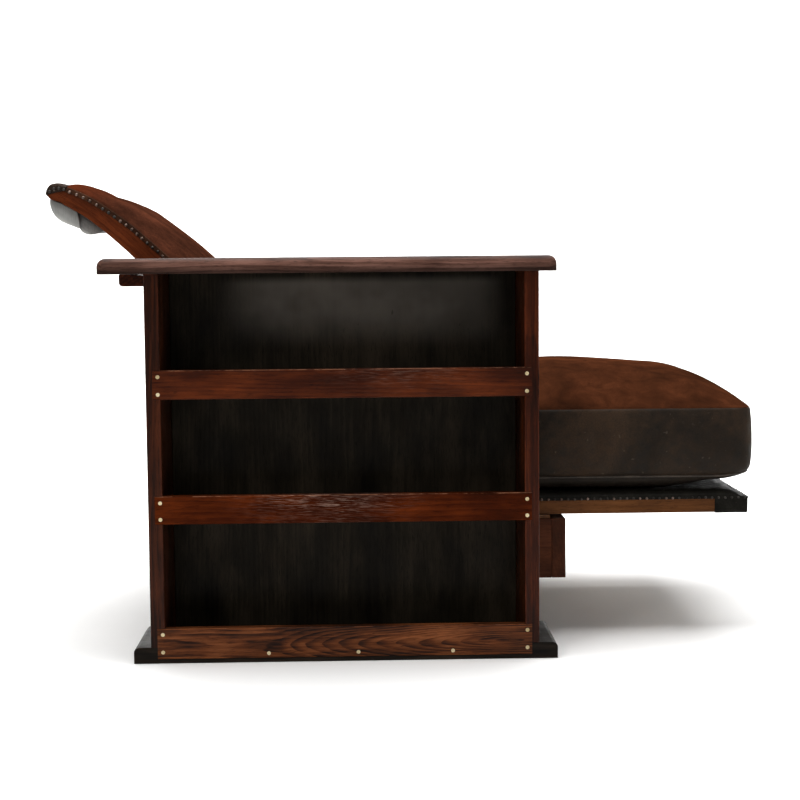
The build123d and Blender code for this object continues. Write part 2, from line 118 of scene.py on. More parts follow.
def noise3(p, scale, seed=0.0):
    """Smooth value noise in -1..1 at points p (metres), scale in cells per metre."""
    q = np.asarray(p, float) * scale + np.array([seed * 3.7, seed * 1.9, seed * 5.3]) + 100.0
    i = np.floor(q).astype(int)
    f = q - i
    f = f * f * (3 - 2 * f)
    out = 0.0
    for dx in (0, 1):
        for dy in (0, 1):
            for dz in (0, 1):
                w = (np.where(dx, f[..., 0], 1 - f[..., 0]) * np.where(dy, f[..., 1], 1 - f[..., 1])
                     * np.where(dz, f[..., 2], 1 - f[..., 2]))
                out = out + w * LATTICE[(i[..., 0] + dx) % 32, (i[..., 1] + dy) % 32, (i[..., 2] + dz) % 32]
    return out * 2 - 1


# ---------------------------------------------------------------- meshes
def new_object(name, verts, faces, mats=(), mat_index=None, uvs=None, smooth_shade=True):
    me = bpy.data.meshes.new(name)
    me.from_pydata([tuple(v) for v in np.asarray(verts, float)], [], [tuple(int(i) for i in f) for f in faces])
    ob = bpy.data.objects.new(name, me)
    bpy.context.scene.collection.objects.link(ob)
    for m in mats:
        me.materials.append(m)
    if mat_index is not None:
        me.polygons.foreach_set("material_index", np.asarray(mat_index, np.int32))
    if smooth_shade:
        me.polygons.foreach_set("use_smooth", np.ones(len(me.polygons), bool))
    if uvs is not None:
        layer = me.uv_layers.new(name="UVMap")
        flat = np.concatenate([np.asarray(u, float).reshape(-1, 2) for u in uvs])
        layer.data.foreach_set("uv", flat.astype(np.float32).ravel())
    me.validate()
    me.update()
    return ob


def coords(ob):
    co = np.zeros(len(ob.data.vertices) * 3, np.float32)
    ob.data.vertices.foreach_get("co", co)
    return co.reshape(-1, 3).astype(float)


def set_coords(ob, co):
    ob.data.vertices.foreach_set("co", np.asarray(co, np.float32).ravel())
    ob.data.update()


def grid_faces(nu, nv, start=0, flip=False):
    f = []
    for i in range(nu - 1):
        for j in range(nv - 1):
            a = start + i * nv + j
            q = (a, a + nv, a + nv + 1, a + 1)
            f.append(q[::-1] if flip else q)
    return f


def grid_object(name, P, uv, mat, flip=False):
    """An open sheet from an (nu, nv, 3) array and its (nu, nv, 2) map."""
    nu, nv = P.shape[:2]
    faces = grid_faces(nu, nv, 0, flip)
    U = uv.reshape(-1, 2)
    return new_object(name, P.reshape(-1, 3), faces, [mat], None, [U[list(f)] for f in faces])


def loft(name, sections, mat, uvs=None, closed=True, caps=True, flip=False):
    """Skin over closed cross-sections (n, m, 3), with capped ends."""
    P = np.asarray(sections, float)
    n, m = P.shape[:2]
    faces, tex = [], []
    for i in range(n - 1):
        for j in range(m if closed else m - 1):
            a, b = i * m + j, i * m + (j + 1) % m
            q = (a, b, b + m, a + m)
            faces.append(q[::-1] if flip else q)
    verts = P.reshape(-1, 3)
    if caps:
        for k, rev in ((0, True), (n - 1, False)):
            c = P[k].mean(0)
            verts = np.vstack([verts, c])
            ci = len(verts) - 1
            for j in range(m):
                q = (ci, k * m + j, k * m + (j + 1) % m)
                q = q[::-1] if rev else q
                faces.append(q[::-1] if flip else q)
    return new_object(name, verts, faces, [mat])


def subdivide(ob, levels):
    m = ob.modifiers.new("subdivision", "SUBSURF")
    m.levels = m.render_levels = levels
    m.uv_smooth = "PRESERVE_BOUNDARIES"
    dg = bpy.context.evaluated_depsgraph_get()
    me = bpy.data.meshes.new_from_object(ob.evaluated_get(dg), preserve_all_data_layers=True, depsgraph=dg)
    ob.modifiers.clear()
    old = ob.data
    ob.data = me
    bpy.data.meshes.remove(old)
    return ob


def tube(name, path, radius, mat, sides=8, closed=False, along=None):
    """A round welt or thread that follows a path of points."""
    P = np.asarray(path, float)
    n = len(P)
    T = np.roll(P, -1, 0) - np.roll(P, 1, 0)
    if not closed:
        T[0], T[-1] = P[1] - P[0], P[-1] - P[-2]
    T /= np.maximum(np.linalg.norm(T, axis=1, keepdims=True), 1e-12)
    up = np.array([0.0, 0.0, 1.0])
    A = np.cross(T, up)
    bad = np.linalg.norm(A, axis=1) < 1e-3
    A[bad] = np.cross(T[bad], [0.0, 1.0, 0.0])
    A /= np.linalg.norm(A, axis=1, keepdims=True)
    B = np.cross(T, A)
    r = np.broadcast_to(np.asarray(radius, float), (n,))
    ang = np.arange(sides) * 2 * math.pi / sides
    ring = (P[:, None] + r[:, None, None] * (np.cos(ang)[None, :, None] * A[:, None]
                                             + np.sin(ang)[None, :, None] * B[:, None]))
    verts = ring.reshape(-1, 3)
    faces = []
    for i in range(n if closed else n - 1):
        for j in range(sides):
            a, b = i * sides + j, i * sides + (j + 1) % sides
            c, d = ((i + 1) % n) * sides + (j + 1) % sides, ((i + 1) % n) * sides + j
            faces.append((a, b, c, d))
    if not closed:
        faces.append(tuple(range(sides))[::-1])
        faces.append(tuple((n - 1) * sides + j for j in range(sides)))
    return new_object(name, verts, faces, [mat])


def join(name, obs):
    """One object from several with the same material list."""
    verts, faces, mi, base, mats = [], [], [], 0, []
    for o in obs:
        co = coords(o)
        verts.append(co)
        for p in o.data.polygons:
            faces.append(tuple(v + base for v in p.vertices))
            m = o.data.materials[p.material_index]
            if m not in mats:
                mats.append(m)
            mi.append(mats.index(m))
        base += len(co)
    ob = new_object(name, np.vstack(verts), faces, mats, mi)
    for o in obs:
        me = o.data
        bpy.data.objects.remove(o)
        bpy.data.meshes.remove(me)
    return ob


def simulate(ob, pinned, frames=18, pressure=3.0, tension=15.0, bending=0.6, shrink=0.0, cap=0.025, mass=0.25):
    """Cloth under pressure, without gravity; pinned points stay. The result is written to the mesh."""
    rest = coords(ob)
    g = ob.vertex_groups.new(name="pin")
    for i, w in enumerate(pinned):
        if w > 0:
            g.add([i], float(w), "REPLACE")
    m = ob.modifiers.new("cloth", "CLOTH")
    s = m.settings
    s.quality = 6
    s.mass = mass
    s.tension_stiffness = s.compression_stiffness = tension
    s.shear_stiffness = tension * 0.4
    s.bending_stiffness = bending
    s.air_damping = 1.0
    s.use_pressure = True
    s.uniform_pressure_force = pressure
    s.effector_weights.gravity = 0.0
    s.vertex_group_mass = "pin"
    s.pin_stiffness = 1.0
    s.shrink_min = shrink
    s.shrink_max = shrink
    m.collision_settings.use_collision = False
    m.collision_settings.use_self_collision = False
    sc = bpy.context.scene
    m.point_cache.frame_start, m.point_cache.frame_end = 1, frames
    sc.frame_start, sc.frame_end = 1, frames
    for f in range(1, frames + 1):
        sc.frame_set(f)
    dg = bpy.context.evaluated_depsgraph_get()
    e = ob.evaluated_get(dg)
    me = e.to_mesh()
    co = np.zeros(len(me.vertices) * 3, np.float32)
    me.vertices.foreach_get("co", co)
    co = co.reshape(-1, 3).astype(float)
    e.to_mesh_clear()
    ob.modifiers.remove(m)
    ob.vertex_groups.clear()
    sc.frame_set(1)
    d = co - rest
    n = np.linalg.norm(d, axis=1, keepdims=True)
    d *= np.minimum(1.0, cap / np.maximum(n, 1e-9))
    set_coords(ob, rest + d)


# ---------------------------------------------------------------- materials
def rgb(r, g, b):
    return tuple((c / 255 / 12.92 if c / 255 <= 0.04045 else ((c / 255 + 0.055) / 1.055) ** 2.4)
                 for c in (r, g, b)) + (1.0,)


class Mat:
    """A node tree under construction, ending in one Principled shader."""

    def __init__(self, name):
        self.m = bpy.data.materials.new(name)
        self.m.use_nodes = True
        self.t = self.m.node_tree
        self.t.nodes.clear()
        self.b = self.node("ShaderNodeBsdfPrincipled")
        out = self.node("ShaderNodeOutputMaterial")
        self.t.links.new(self.b.outputs["BSDF"], out.inputs["Surface"])
        self.obj = self.node("ShaderNodeTexCoord")
        self.p = self.obj.outputs["Object"]
        self.uv = self.obj.outputs["UV"]

    def node(self, kind, **props):
        x = self.t.nodes.new(kind)
        for k, v in props.items():
            setattr(x, k, v)
        return x

    def put(self, socket, value):
        if isinstance(value, bpy.types.NodeSocket):
            self.t.links.new(value, socket)
        else:
            socket.default_value = value

    def math(self, op, a, b=0.0, c=0.0, clamp=False):
        x = self.node("ShaderNodeMath", operation=op, use_clamp=clamp)
        for s, v in zip(x.inputs, (a, b, c)):
            self.put(s, v)
        return x.outputs[0]

    def vec(self, op, a, b=(0, 0, 0)):
        x = self.node("ShaderNodeVectorMath", operation=op)
        self.put(x.inputs[0], a)
        self.put(x.inputs[1], b)
        return x.outputs["Value"] if op in ("DOT_PRODUCT", "LENGTH") else x.outputs[0]

    def scale(self, v, s):
        return self.vec("MULTIPLY", v, s if isinstance(s, (tuple, list)) else (s, s, s))

    def xyz(self, x, y, z):
        c = self.node("ShaderNodeCombineXYZ")
        for s, v in zip(c.inputs, (x, y, z)):
            self.put(s, v)
        return c.outputs[0]

    def split(self, v):
        s = self.node("ShaderNodeSeparateXYZ")
        self.put(s.inputs[0], v)
        return s.outputs

    def noise(self, v, scale, detail=2.0, rough=0.5, dist=0.0, color=False):
        x = self.node("ShaderNodeTexNoise")
        self.put(x.inputs["Vector"], v)
        x.inputs["Scale"].default_value = scale
        x.inputs["Detail"].default_value = detail
        x.inputs["Roughness"].default_value = rough
        x.inputs["Distortion"].default_value = dist
        return x.outputs["Color" if color else "Fac"]

    def cells(self, v, scale, feature="F1", rand=1.0):
        x = self.node("ShaderNodeTexVoronoi", feature=feature)
        self.put(x.inputs["Vector"], v)
        x.inputs["Scale"].default_value = scale
        x.inputs["Randomness"].default_value = rand
        return x.outputs["Distance"]

    def remap(self, v, a, b, c=0.0, d=1.0, smoothly=True):
        x = self.node("ShaderNodeMapRange", interpolation_type="SMOOTHSTEP" if smoothly else "LINEAR", clamp=True)
        for s, q in zip(x.inputs, (v, a, b, c, d)):
            self.put(s, q)
        return x.outputs[0]

    def ramp(self, f, stops):
        x = self.node("ShaderNodeValToRGB")
        self.put(x.inputs[0], f)
        e = x.color_ramp.elements
        e[0].position, e[0].color = stops[0]
        e[1].position, e[1].color = stops[-1]
        for p, c in stops[1:-1]:
            q = e.new(p)
            q.color = c
        return x.outputs[0]

    def mix(self, f, a, b, blend="MIX"):
        x = self.node("ShaderNodeMix", data_type="RGBA", blend_type=blend)
        self.put(x.inputs[0], f)
        self.put(x.inputs[6], a)
        self.put(x.inputs[7], b)
        return x.outputs[2]

    def bump(self, height, dist, strength=1.0, normal=None):
        x = self.node("ShaderNodeBump")
        x.inputs["Strength"].default_value = strength
        x.inputs["Distance"].default_value = dist
        self.put(x.inputs["Height"], height)
        if normal is not None:
            self.put(x.inputs["Normal"], normal)
        return x.outputs[0]

    def edge(self, lo, hi, width):
        """0 on a board's faces and 1 along its edges and corners, from its own box."""
        s = self.split(self.p)
        d = []
        for i in range(3):
            a = self.math("SUBTRACT", s[i], float(lo[i]))
            b = self.math("SUBTRACT", float(hi[i]), s[i])
            d.append(self.math("MINIMUM", a, b))
        m = self.math("MAXIMUM", self.math("MINIMUM", d[0], d[1]),
                      self.math("MINIMUM", self.math("MAXIMUM", d[0], d[1]), d[2]))
        return self.remap(m, 0.0, width, 1.0, 0.0)


# noise that breaks up the inner panel's painted light patch
def light_patch_noise(g):
    return g.noise(g.p, 9.0, 3.0, 0.6)


def wood(name, along, seed, dark, mid, light, streak=1.0, rings=0.22, ring_freq=190.0, clouds=1.0, flame=None, curved=False,
         rough=(0.3, 0.48), coat=0.10, coat_rough=0.16, box=None, wear=None, wear_amount=0.5, pore_bump=0.5,
         spec=0.10, edge_width=0.0030, top_edge_wear_and_highlight=False, painted_sheen=None, ripple=1.5, painted_shade_bands=None, painted_light_patch=None):
    """Varnished wood: growth rings about a pith, ribbon figure, open pores, worn edges (partly painted highlight along
    the rails' top edges), with optional painted sheen, a painted light patch and painted shade by height.
    """
    g = Mat(name)
    d = Vector(along).normalized()
    e1 = d.cross(Vector((0, 1, 0))) if abs(d.y) < 0.9 else d.cross(Vector((0, 0, 1)))
    e1.normalize()
    e2 = d.cross(e1).normalized()
    off = [(math.sin(seed * k) * 0.5 + 0.5) * w for k, w in ((12.9, 3.1), (78.2, 0.9), (37.7, 0.7))]
    if curved:
        # grain that runs with the back's bend: height over the rear edge
        xyz = g.split(g.p)
        t = g.math("DIVIDE", g.math("ADD", xyz[0], 0.57), 0.52, clamp=True)
        cv = g.node("ShaderNodeFloatCurve")
        cu = cv.mapping.curves[0]
        pts = [((x - OX) / 1000, z / 1000) for x, z, _, _ in CURVE]
        pts = [((x + 0.57) / 0.52, (z - 0.19) / 0.52) for x, z in pts][::2]
        cu.points[0].location, cu.points[1].location = pts[0], pts[-1]
        for q0 in pts[1:-1]:
            cu.points.new(*q0)
        cv.mapping.update()
        g.put(cv.inputs["Value"], t)
        edge_z = g.math("MULTIPLY_ADD", cv.outputs[0], 0.52, 0.19)
        a = g.math("MULTIPLY_ADD", xyz[0], 1.35, off[0])
        b = g.math("MULTIPLY_ADD", g.math("SUBTRACT", xyz[2], edge_z), 0.74, off[1])
        c = g.math("ADD", xyz[1], off[2])
    else:
        a = g.math("ADD", g.vec("DOT_PRODUCT", g.p, tuple(d)), off[0])
        b = g.math("ADD", g.vec("DOT_PRODUCT", g.p, tuple(e1)), off[1])
        c = g.math("ADD", g.vec("DOT_PRODUCT", g.p, tuple(e2)), off[2])
    q = g.xyz(a, b, c)
    bend = g.noise(g.scale(q, (1.6, 7.0, 7.0)), 1.0, 2.0, 0.5)
    bend = g.math("SUBTRACT", bend, 0.5)
    b2 = g.math("MULTIPLY_ADD", bend, 0.022, b)
    c2 = g.math("MULTIPLY_ADD", bend, 0.016, c)
    # rings about a pith; a flamed board cuts them at a slant
    px, pb, pc, k, c0 = flame if flame else (0.2, -0.09, -0.06, 0.012, 0.0)
    px, pb, pc = px + off[0], pb + off[1], pc + off[2]
    rb = g.math("SUBTRACT", b2, pb)
    along_px = g.math("SUBTRACT", a, px)
    if flame:
        along_px = g.math("MAXIMUM", along_px, 0.0)
    rc = g.math("MULTIPLY_ADD", along_px, k, g.math("ADD", g.math("SUBTRACT", c2, pc), c0))
    r = g.vec("LENGTH", g.xyz(0.0, rb, rc))
    wob = g.noise(g.scale(q, (5.0, 26.0, 26.0)), 1.0, 3.0, 0.55)
    saw = g.math("FRACT", g.math("MULTIPLY_ADD", wob, ripple, g.math("MULTIPLY", r, ring_freq)))
    ring = g.remap(saw, 0.15, 0.95)
    ring = g.math("MULTIPLY", ring, g.remap(saw, 1.0, 0.93))
    # ribbon figure and streaks along the grain
    q2 = g.xyz(a, b2, c2)
    broad = g.noise(g.scale(q2, (2.2, 34.0, 34.0)), 1.0, 3.0, 0.55)
    fine = g.noise(g.scale(q2, (9.0, 260.0, 260.0)), 1.0, 3.0, 0.6)
    pores = g.noise(g.scale(q2, (75.0, 1300.0, 1300.0)), 1.0, 2.0, 0.6)
    patch = g.noise(g.p, 4.3, 3.0, 0.6)
    cloud = g.noise(g.scale(q, (7.0, 22.0, 22.0)), 1.0, 3.0, 0.55)
    broken = g.remap(g.noise(g.scale(q2, (24.0, 170.0, 170.0)), 1.0, 2.0, 0.5), 0.30, 0.60)
    ring = g.math("MULTIPLY", ring, g.math("MULTIPLY_ADD", broken, 0.75, 0.25))
    f = g.math("MULTIPLY_ADD", g.math("SUBTRACT", broad, 0.5), 0.62 * streak, 0.5)
    f = g.math("MULTIPLY_ADD", g.math("SUBTRACT", fine, 0.5), 0.75 * streak, f)
    f = g.math("MULTIPLY_ADD", g.math("SUBTRACT", ring, 0.35), -rings, f)
    f = g.math("MULTIPLY_ADD", g.math("SUBTRACT", cloud, 0.5), 1.0 * clouds, f)
    f = g.math("MULTIPLY_ADD", g.math("SUBTRACT", patch, 0.5), 0.9 * clouds, f, clamp=True)
    col = g.ramp(f, [(0.12, rgb(*dark)), (0.5, rgb(*mid)), (0.88, rgb(*light))])
    pore_mask = g.remap(pores, 0.56, 0.68)
    col = g.mix(g.math("MULTIPLY", pore_mask, 0.55), col, rgb(*[x * 0.38 for x in dark]))
    if box is not None and wear is not None:
        rub = g.noise(g.p, 38.0, 4.0, 0.65)
        # only along the two top edges: edge wear, and on the top and middle rails also a painted highlight where light
        # catches the rounded edge
        if top_edge_wear_and_highlight:
            sp = g.split(g.p)
            dy = g.math("MINIMUM", g.math("SUBTRACT", sp[1], float(box[0][1])), g.math("SUBTRACT", float(box[1][1]), sp[1]))
            dz = g.math("SUBTRACT", float(box[1][2]), sp[2])
            edge = g.remap(g.math("MAXIMUM", dy, dz), 0.0, edge_width, 1.0, 0.0)
        else:
            edge = g.edge(box[0], box[1], edge_width)
        edge = g.math("MULTIPLY", edge, g.remap(rub, 0.42, 0.62))
        col = g.mix(g.math("MULTIPLY", edge, wear_amount), col, rgb(*wear))
    if painted_sheen is not None:
        # painted sheen: light dashes painted over the open pores in one place along the board, strongest near its top,
        # a painted highlight for the satin reflection of the varnish
        raw = g.vec("DOT_PRODUCT", g.p, tuple(d))
        where = g.remap(g.math("ABSOLUTE", g.math("SUBTRACT", raw, painted_sheen[0])), 0.0, painted_sheen[1], 1.0, 0.0)
        sheen_dash = g.remap(g.noise(g.scale(q2, (52.0, 950.0, 950.0)), 1.0, 3.0, 0.55), 0.5, 0.66)
        where = g.math("MULTIPLY", where, g.remap(g.noise(g.scale(q, (9.0, 30.0, 30.0)), 1.0, 2.0), 0.2, 0.5))
        up = g.math("SUBTRACT", float(box[1][2]), g.split(g.p)[2])
        where = g.math("MULTIPLY", where, g.remap(up, 0.010, 0.030, 1.0, 0.35))
        col = g.mix(g.math("MULTIPLY", g.math("MULTIPLY", where, sheen_dash), painted_sheen[2]), col, rgb(176, 150, 136))
    if painted_shade_bands is not None:
        # painted light and shade by height: the colour is multiplied by a factor at each height (height in mm, factor),
        # painting shade low on the arm's face and on its top
        z0, z1 = painted_shade_bands[0][0], painted_shade_bands[-1][0]
        h = g.remap(g.split(g.p)[2], z0 / 1000, z1 / 1000, 0.0, 1.0, smoothly=False)
        height_shade = g.ramp(h, [((z - z0) / (z1 - z0), (v, v, v, 1.0)) for z, v in painted_shade_bands])
        col = g.mix(1.0, col, height_shade, "MULTIPLY")
    if painted_light_patch is not None:
        # painted light: a lighter, greyer patch painted on one region of the outer face for light falling on the
        # varnish; it fades out just under the arm and at the right end, where shade falls. Entries: side, x0, x1, z0,
        # z1, amount, colour
        sp = g.split(g.p)
        mid_y = (float(box[0][1]) + float(box[1][1])) / 2
        face = g.remap(g.math("MULTIPLY", g.math("SUBTRACT", sp[1], mid_y), float(painted_light_patch[0])), 0.0, 0.001)
        where = g.math("MULTIPLY", g.remap(sp[0], painted_light_patch[1], painted_light_patch[2]), g.remap(sp[2], painted_light_patch[3], painted_light_patch[4]))
        where = g.math("MULTIPLY", g.math("MULTIPLY", where, face), g.remap(light_patch_noise(g), 0.30, 0.65, 0.62, 1.0))
        where = g.math("MULTIPLY", where, g.remap(sp[2], 0.574, 0.558))
        where = g.math("MULTIPLY", where, g.remap(sp[0], 0.155, 0.095))
        col = g.mix(g.math("MULTIPLY", where, painted_light_patch[5]), col, rgb(*painted_light_patch[6]))
    # small knocks and scratches
    knock = g.remap(g.noise(g.scale(q, (60.0, 120.0, 120.0)), 1.0, 2.0, 0.5), 0.73, 0.78)
    col = g.mix(g.math("MULTIPLY", knock, 0.35), col, rgb(*[x * 0.5 for x in dark]))
    g.put(g.b.inputs["Base Color"], col)
    smear = g.noise(g.p, 11.0, 4.0, 0.65)
    rr = g.remap(smear, 0.3, 0.7, rough[0], rough[1])
    rr = g.math("MULTIPLY_ADD", pore_mask, 0.12, rr, clamp=True)
    g.put(g.b.inputs["Roughness"], rr)
    g.b.inputs["Specular IOR Level"].default_value = spec
    g.b.inputs["Coat Weight"].default_value = coat
    g.b.inputs["Coat Roughness"].default_value = coat_rough
    h = g.math("MULTIPLY_ADD", pore_mask, -0.5, g.math("MULTIPLY", fine, 0.35))
    n = g.bump(h, 0.00035, pore_bump)
    n = g.bump(g.noise(g.scale(q, (3.0, 12.0, 12.0)), 1.0, 2.0), 0.002, 0.25, n)
    g.put(g.b.inputs["Normal"], n)
    return g.m


def hide(name, dark, mid, light, cell=520.0, rough=(0.42, 0.62), grain=0.6, crack=0.35, coat=0.0,
         scuffs_and_glints=None, scuffs_and_glints_amount=0.5, sheen=0.0, sheen_tint=None, patch_scale=9.0, spec=0.2, contrast=1.5, head=None):
    """Leather with pebbled grain, creases, worn patches and light specks of wear, which on the black and nose leathers
    also stand in for painted glints.
    """
    g = Mat(name)
    wob = g.noise(g.p, 60.0, 2.0, 0.5, color=True)
    p = g.vec("ADD", g.p, g.scale(wob, 0.004))
    c1 = g.cells(p, cell)
    c2 = g.cells(p, cell * 0.37, "DISTANCE_TO_EDGE")
    fib = g.noise(g.p, 1400.0, 3.0, 0.6)
    patch = g.noise(g.p, patch_scale, 5.0, 0.62, 0.4)
    mottle = g.noise(g.p, 75.0, 4.0, 0.6)
    f = g.math("MULTIPLY_ADD", g.math("SUBTRACT", patch, 0.5), contrast, 0.5)
    f = g.math("MULTIPLY_ADD", g.math("SUBTRACT", mottle, 0.5), 0.7, f, clamp=True)
    col = g.ramp(f, [(0.08, rgb(*dark)), (0.5, rgb(*mid)), (0.92, rgb(*light))])
    if head is not None:
        # the leather has kept more colour towards the top end
        col2 = g.ramp(f, [(0.08, rgb(*head[0])), (0.5, rgb(*head[1])), (0.92, rgb(*head[2]))])
        x = g.math("MULTIPLY_ADD", g.math("SUBTRACT", mottle, 0.5), 0.05, g.split(g.p)[0])
        col = g.mix(g.remap(x, -0.545, -0.44, 1.0, 0.0), col, col2)
    lines = g.remap(c2, 0.0, 0.09, 1.0, 0.0)
    col = g.mix(g.math("MULTIPLY", lines, crack * 0.8), col, rgb(*[x * 0.55 for x in dark]))
    # light specks: wear, and on the black and nose leathers also painted glints
    if scuffs_and_glints is not None:
        s = g.remap(g.noise(g.scale(g.p, (30.0, 30.0, 55.0)), 1.0, 6.0, 0.7), 0.62, 0.74)
        s = g.math("MULTIPLY", s, g.remap(g.noise(g.p, 240.0, 3.0, 0.6), 0.42, 0.6))
        specks = g.remap(g.noise(g.p, 130.0, 2.0, 0.4), 0.71, 0.77)
        s = g.math("MAXIMUM", s, specks)
        col = g.mix(g.math("MULTIPLY", s, scuffs_and_glints_amount), col, rgb(*scuffs_and_glints))
    g.put(g.b.inputs["Base Color"], col)
    g.put(g.b.inputs["Roughness"], g.remap(mottle, 0.3, 0.7, rough[0], rough[1]))
    g.b.inputs["Specular IOR Level"].default_value = spec
    g.b.inputs["Coat Weight"].default_value = coat
    g.b.inputs["Coat Roughness"].default_value = 0.3
    if sheen > 0:
        g.b.inputs["Sheen Weight"].default_value = sheen
        g.b.inputs["Sheen Roughness"].default_value = 0.55
        g.b.inputs["Sheen Tint"].default_value = rgb(*(sheen_tint or light))
    h = g.math("MULTIPLY_ADD", lines, -0.7 * crack, g.math("MULTIPLY", c1, 0.8))
    h = g.math("MULTIPLY_ADD", fib, 0.12, h)
    n = g.bump(h, 0.00045, grain)
    n = g.bump(g.noise(g.p, 34.0, 3.0, 0.5), 0.0022, 0.32, n)
    g.put(g.b.inputs["Normal"], n)
    return g.m


def suede(name, dark, mid, light, stain=0.5, sheen=0.4):
    """Napped leather: matt, patchy where the nap is worn down, with a soft sheen."""
    g = Mat(name)
    nap = g.noise(g.p, 26.0, 5.0, 0.62, 0.6)
    fib = g.noise(g.p, 900.0, 4.0, 0.7)
    blot = g.noise(g.p, 5.5, 3.0, 0.55)
    streak = g.noise(g.scale(g.p, (26.0, 7.0, 26.0)), 1.0, 4.0, 0.6)
    f = g.math("MULTIPLY_ADD", g.math("SUBTRACT", nap, 0.5), 0.9, 0.5)
    f = g.math("MULTIPLY_ADD", g.math("SUBTRACT", blot, 0.5), 0.9, f)
    f = g.math("MULTIPLY_ADD", g.math("SUBTRACT", streak, 0.5), 0.45, f)
    f = g.math("MULTIPLY_ADD", g.math("SUBTRACT", fib, 0.5), 0.5, f, clamp=True)
    col = g.ramp(f, [(0.1, rgb(*dark)), (0.5, rgb(*mid)), (0.9, rgb(*light))])
    spots = g.remap(g.noise(g.p, 17.0, 4.0, 0.7), 0.66, 0.74)
    col = g.mix(g.math("MULTIPLY", spots, stain * 0.6), col, rgb(*[x * 0.6 for x in dark]))
    g.put(g.b.inputs["Base Color"], col)
    g.put(g.b.inputs["Roughness"], g.remap(nap, 0.3, 0.7, 0.78, 0.95))
    g.b.inputs["Sheen Weight"].default_value = sheen
    g.b.inputs["Sheen Roughness"].default_value = 0.6
    g.b.inputs["Sheen Tint"].default_value = rgb(*light)
    g.b.inputs["Specular IOR Level"].default_value = 0.0
    h = g.math("MULTIPLY_ADD", fib, 0.5, g.math("MULTIPLY", nap, 0.6))
    n = g.bump(h, 0.0007, 0.55)
    n = g.bump(g.noise(g.p, 9.0, 3.0, 0.5), 0.003, 0.25, n)
    g.put(g.b.inputs["Normal"], n)
    return g.m


def cloth(name, dark, light, pitch, uv=True, stripe=None, soil=(120, 112, 98), soil_amount=0.35, rough=0.9, flat=1.0, shade=False):
    """A plain weave; pitch is the thread spacing in metres."""
    g = Mat(name)
    co = g.uv if uv else g.p
    s = g.split(co)
    k = 2 * math.pi / pitch
    wob = g.noise(co, 90.0, 2.0)
    u = g.math("MULTIPLY_ADD", wob, 1.4, g.math("MULTIPLY", s[0], k))
    v = g.math("MULTIPLY_ADD", wob, 1.4, g.math("MULTIPLY", s[1], k))
    su, sv = g.math("SINE", u), g.math("SINE", v)
    weave = g.math("MULTIPLY_ADD", g.math("MULTIPLY", su, sv), 0.5, 0.5)
    ribs = g.math("MAXIMUM", g.math("ABSOLUTE", su), g.math("ABSOLUTE", sv))
    slub = g.noise(g.scale(co, (700.0, 60.0, 60.0)), 1.0, 2.0)
    slub2 = g.noise(g.scale(co, (60.0, 700.0, 60.0)), 1.0, 2.0)
    f = g.math("MULTIPLY_ADD", weave, 0.35, g.math("MULTIPLY", slub, 0.4))
    f = g.math("MULTIPLY_ADD", slub2, 0.4, f, clamp=True)
    col = g.ramp(f, [(0.25, rgb(*dark)), (0.8, rgb(*light))])
    if stripe:
        for lo, hi in ((0.004, 0.0075), (0.0425, 0.046)):
            w = g.math("MULTIPLY", g.math("GREATER_THAN", s[1], lo), g.math("LESS_THAN", s[1], hi))
            col = g.mix(g.math("MULTIPLY", w, 0.8), col, rgb(*stripe))
    dirt = g.noise(g.p, 7.0, 5.0, 0.65)
    col = g.mix(g.math("MULTIPLY", g.remap(dirt, 0.45, 0.72), soil_amount), col, rgb(*soil))
    if shade:
        # painted shade where it leaves the wood and tucks under it, painted light paler towards its hanging fold
        sp = g.split(g.p)
        t = g.math("DIVIDE", g.math("SUBTRACT", 0.3677, g.math("MULTIPLY_ADD", sp[0], 0.587, sp[2])), 0.029)
        col = g.mix(g.remap(t, 0.0, 0.5, 0.45, 0.0), col, rgb(58, 58, 56))
        col = g.mix(g.remap(t, 0.45, 1.0, 0.0, 0.6), col, rgb(236, 236, 232))
    g.put(g.b.inputs["Base Color"], col)
    g.b.inputs["Roughness"].default_value = rough
    g.b.inputs["Sheen Weight"].default_value = 0.15
    h = g.math("MULTIPLY_ADD", ribs, 0.6, g.math("MULTIPLY", weave, 0.5))
    n = g.bump(h, pitch * 0.35, 0.6 * flat)
    n = g.bump(g.noise(g.p, 16.0, 3.0, 0.5), 0.003, 0.3, n)
    g.put(g.b.inputs["Normal"], n)
    return g.m


def metal(name, bright, dull, rough=(0.25, 0.5), dirt=0.5, scale=220.0, metallic=1.0):
    """Aged metal with tarnish in its hollows."""
    g = Mat(name)
    big = g.noise(g.p, 35.0, 4.0, 0.6)
    small = g.noise(g.p, scale * 4, 4.0, 0.6)
    f = g.math("MULTIPLY_ADD", g.math("SUBTRACT", big, 0.5), 1.6, 0.5)
    f = g.math("MULTIPLY_ADD", g.math("SUBTRACT", small, 0.5), 1.0 * dirt, f, clamp=True)
    g.put(g.b.inputs["Base Color"], g.ramp(f, [(0.15, rgb(*dull)), (0.75, rgb(*bright))]))
    g.b.inputs["Metallic"].default_value = metallic
    g.put(g.b.inputs["Roughness"], g.remap(small, 0.3, 0.7, rough[0], rough[1]))
    g.put(g.b.inputs["Normal"], g.bump(small, 0.0003, 0.35))
    return g.m


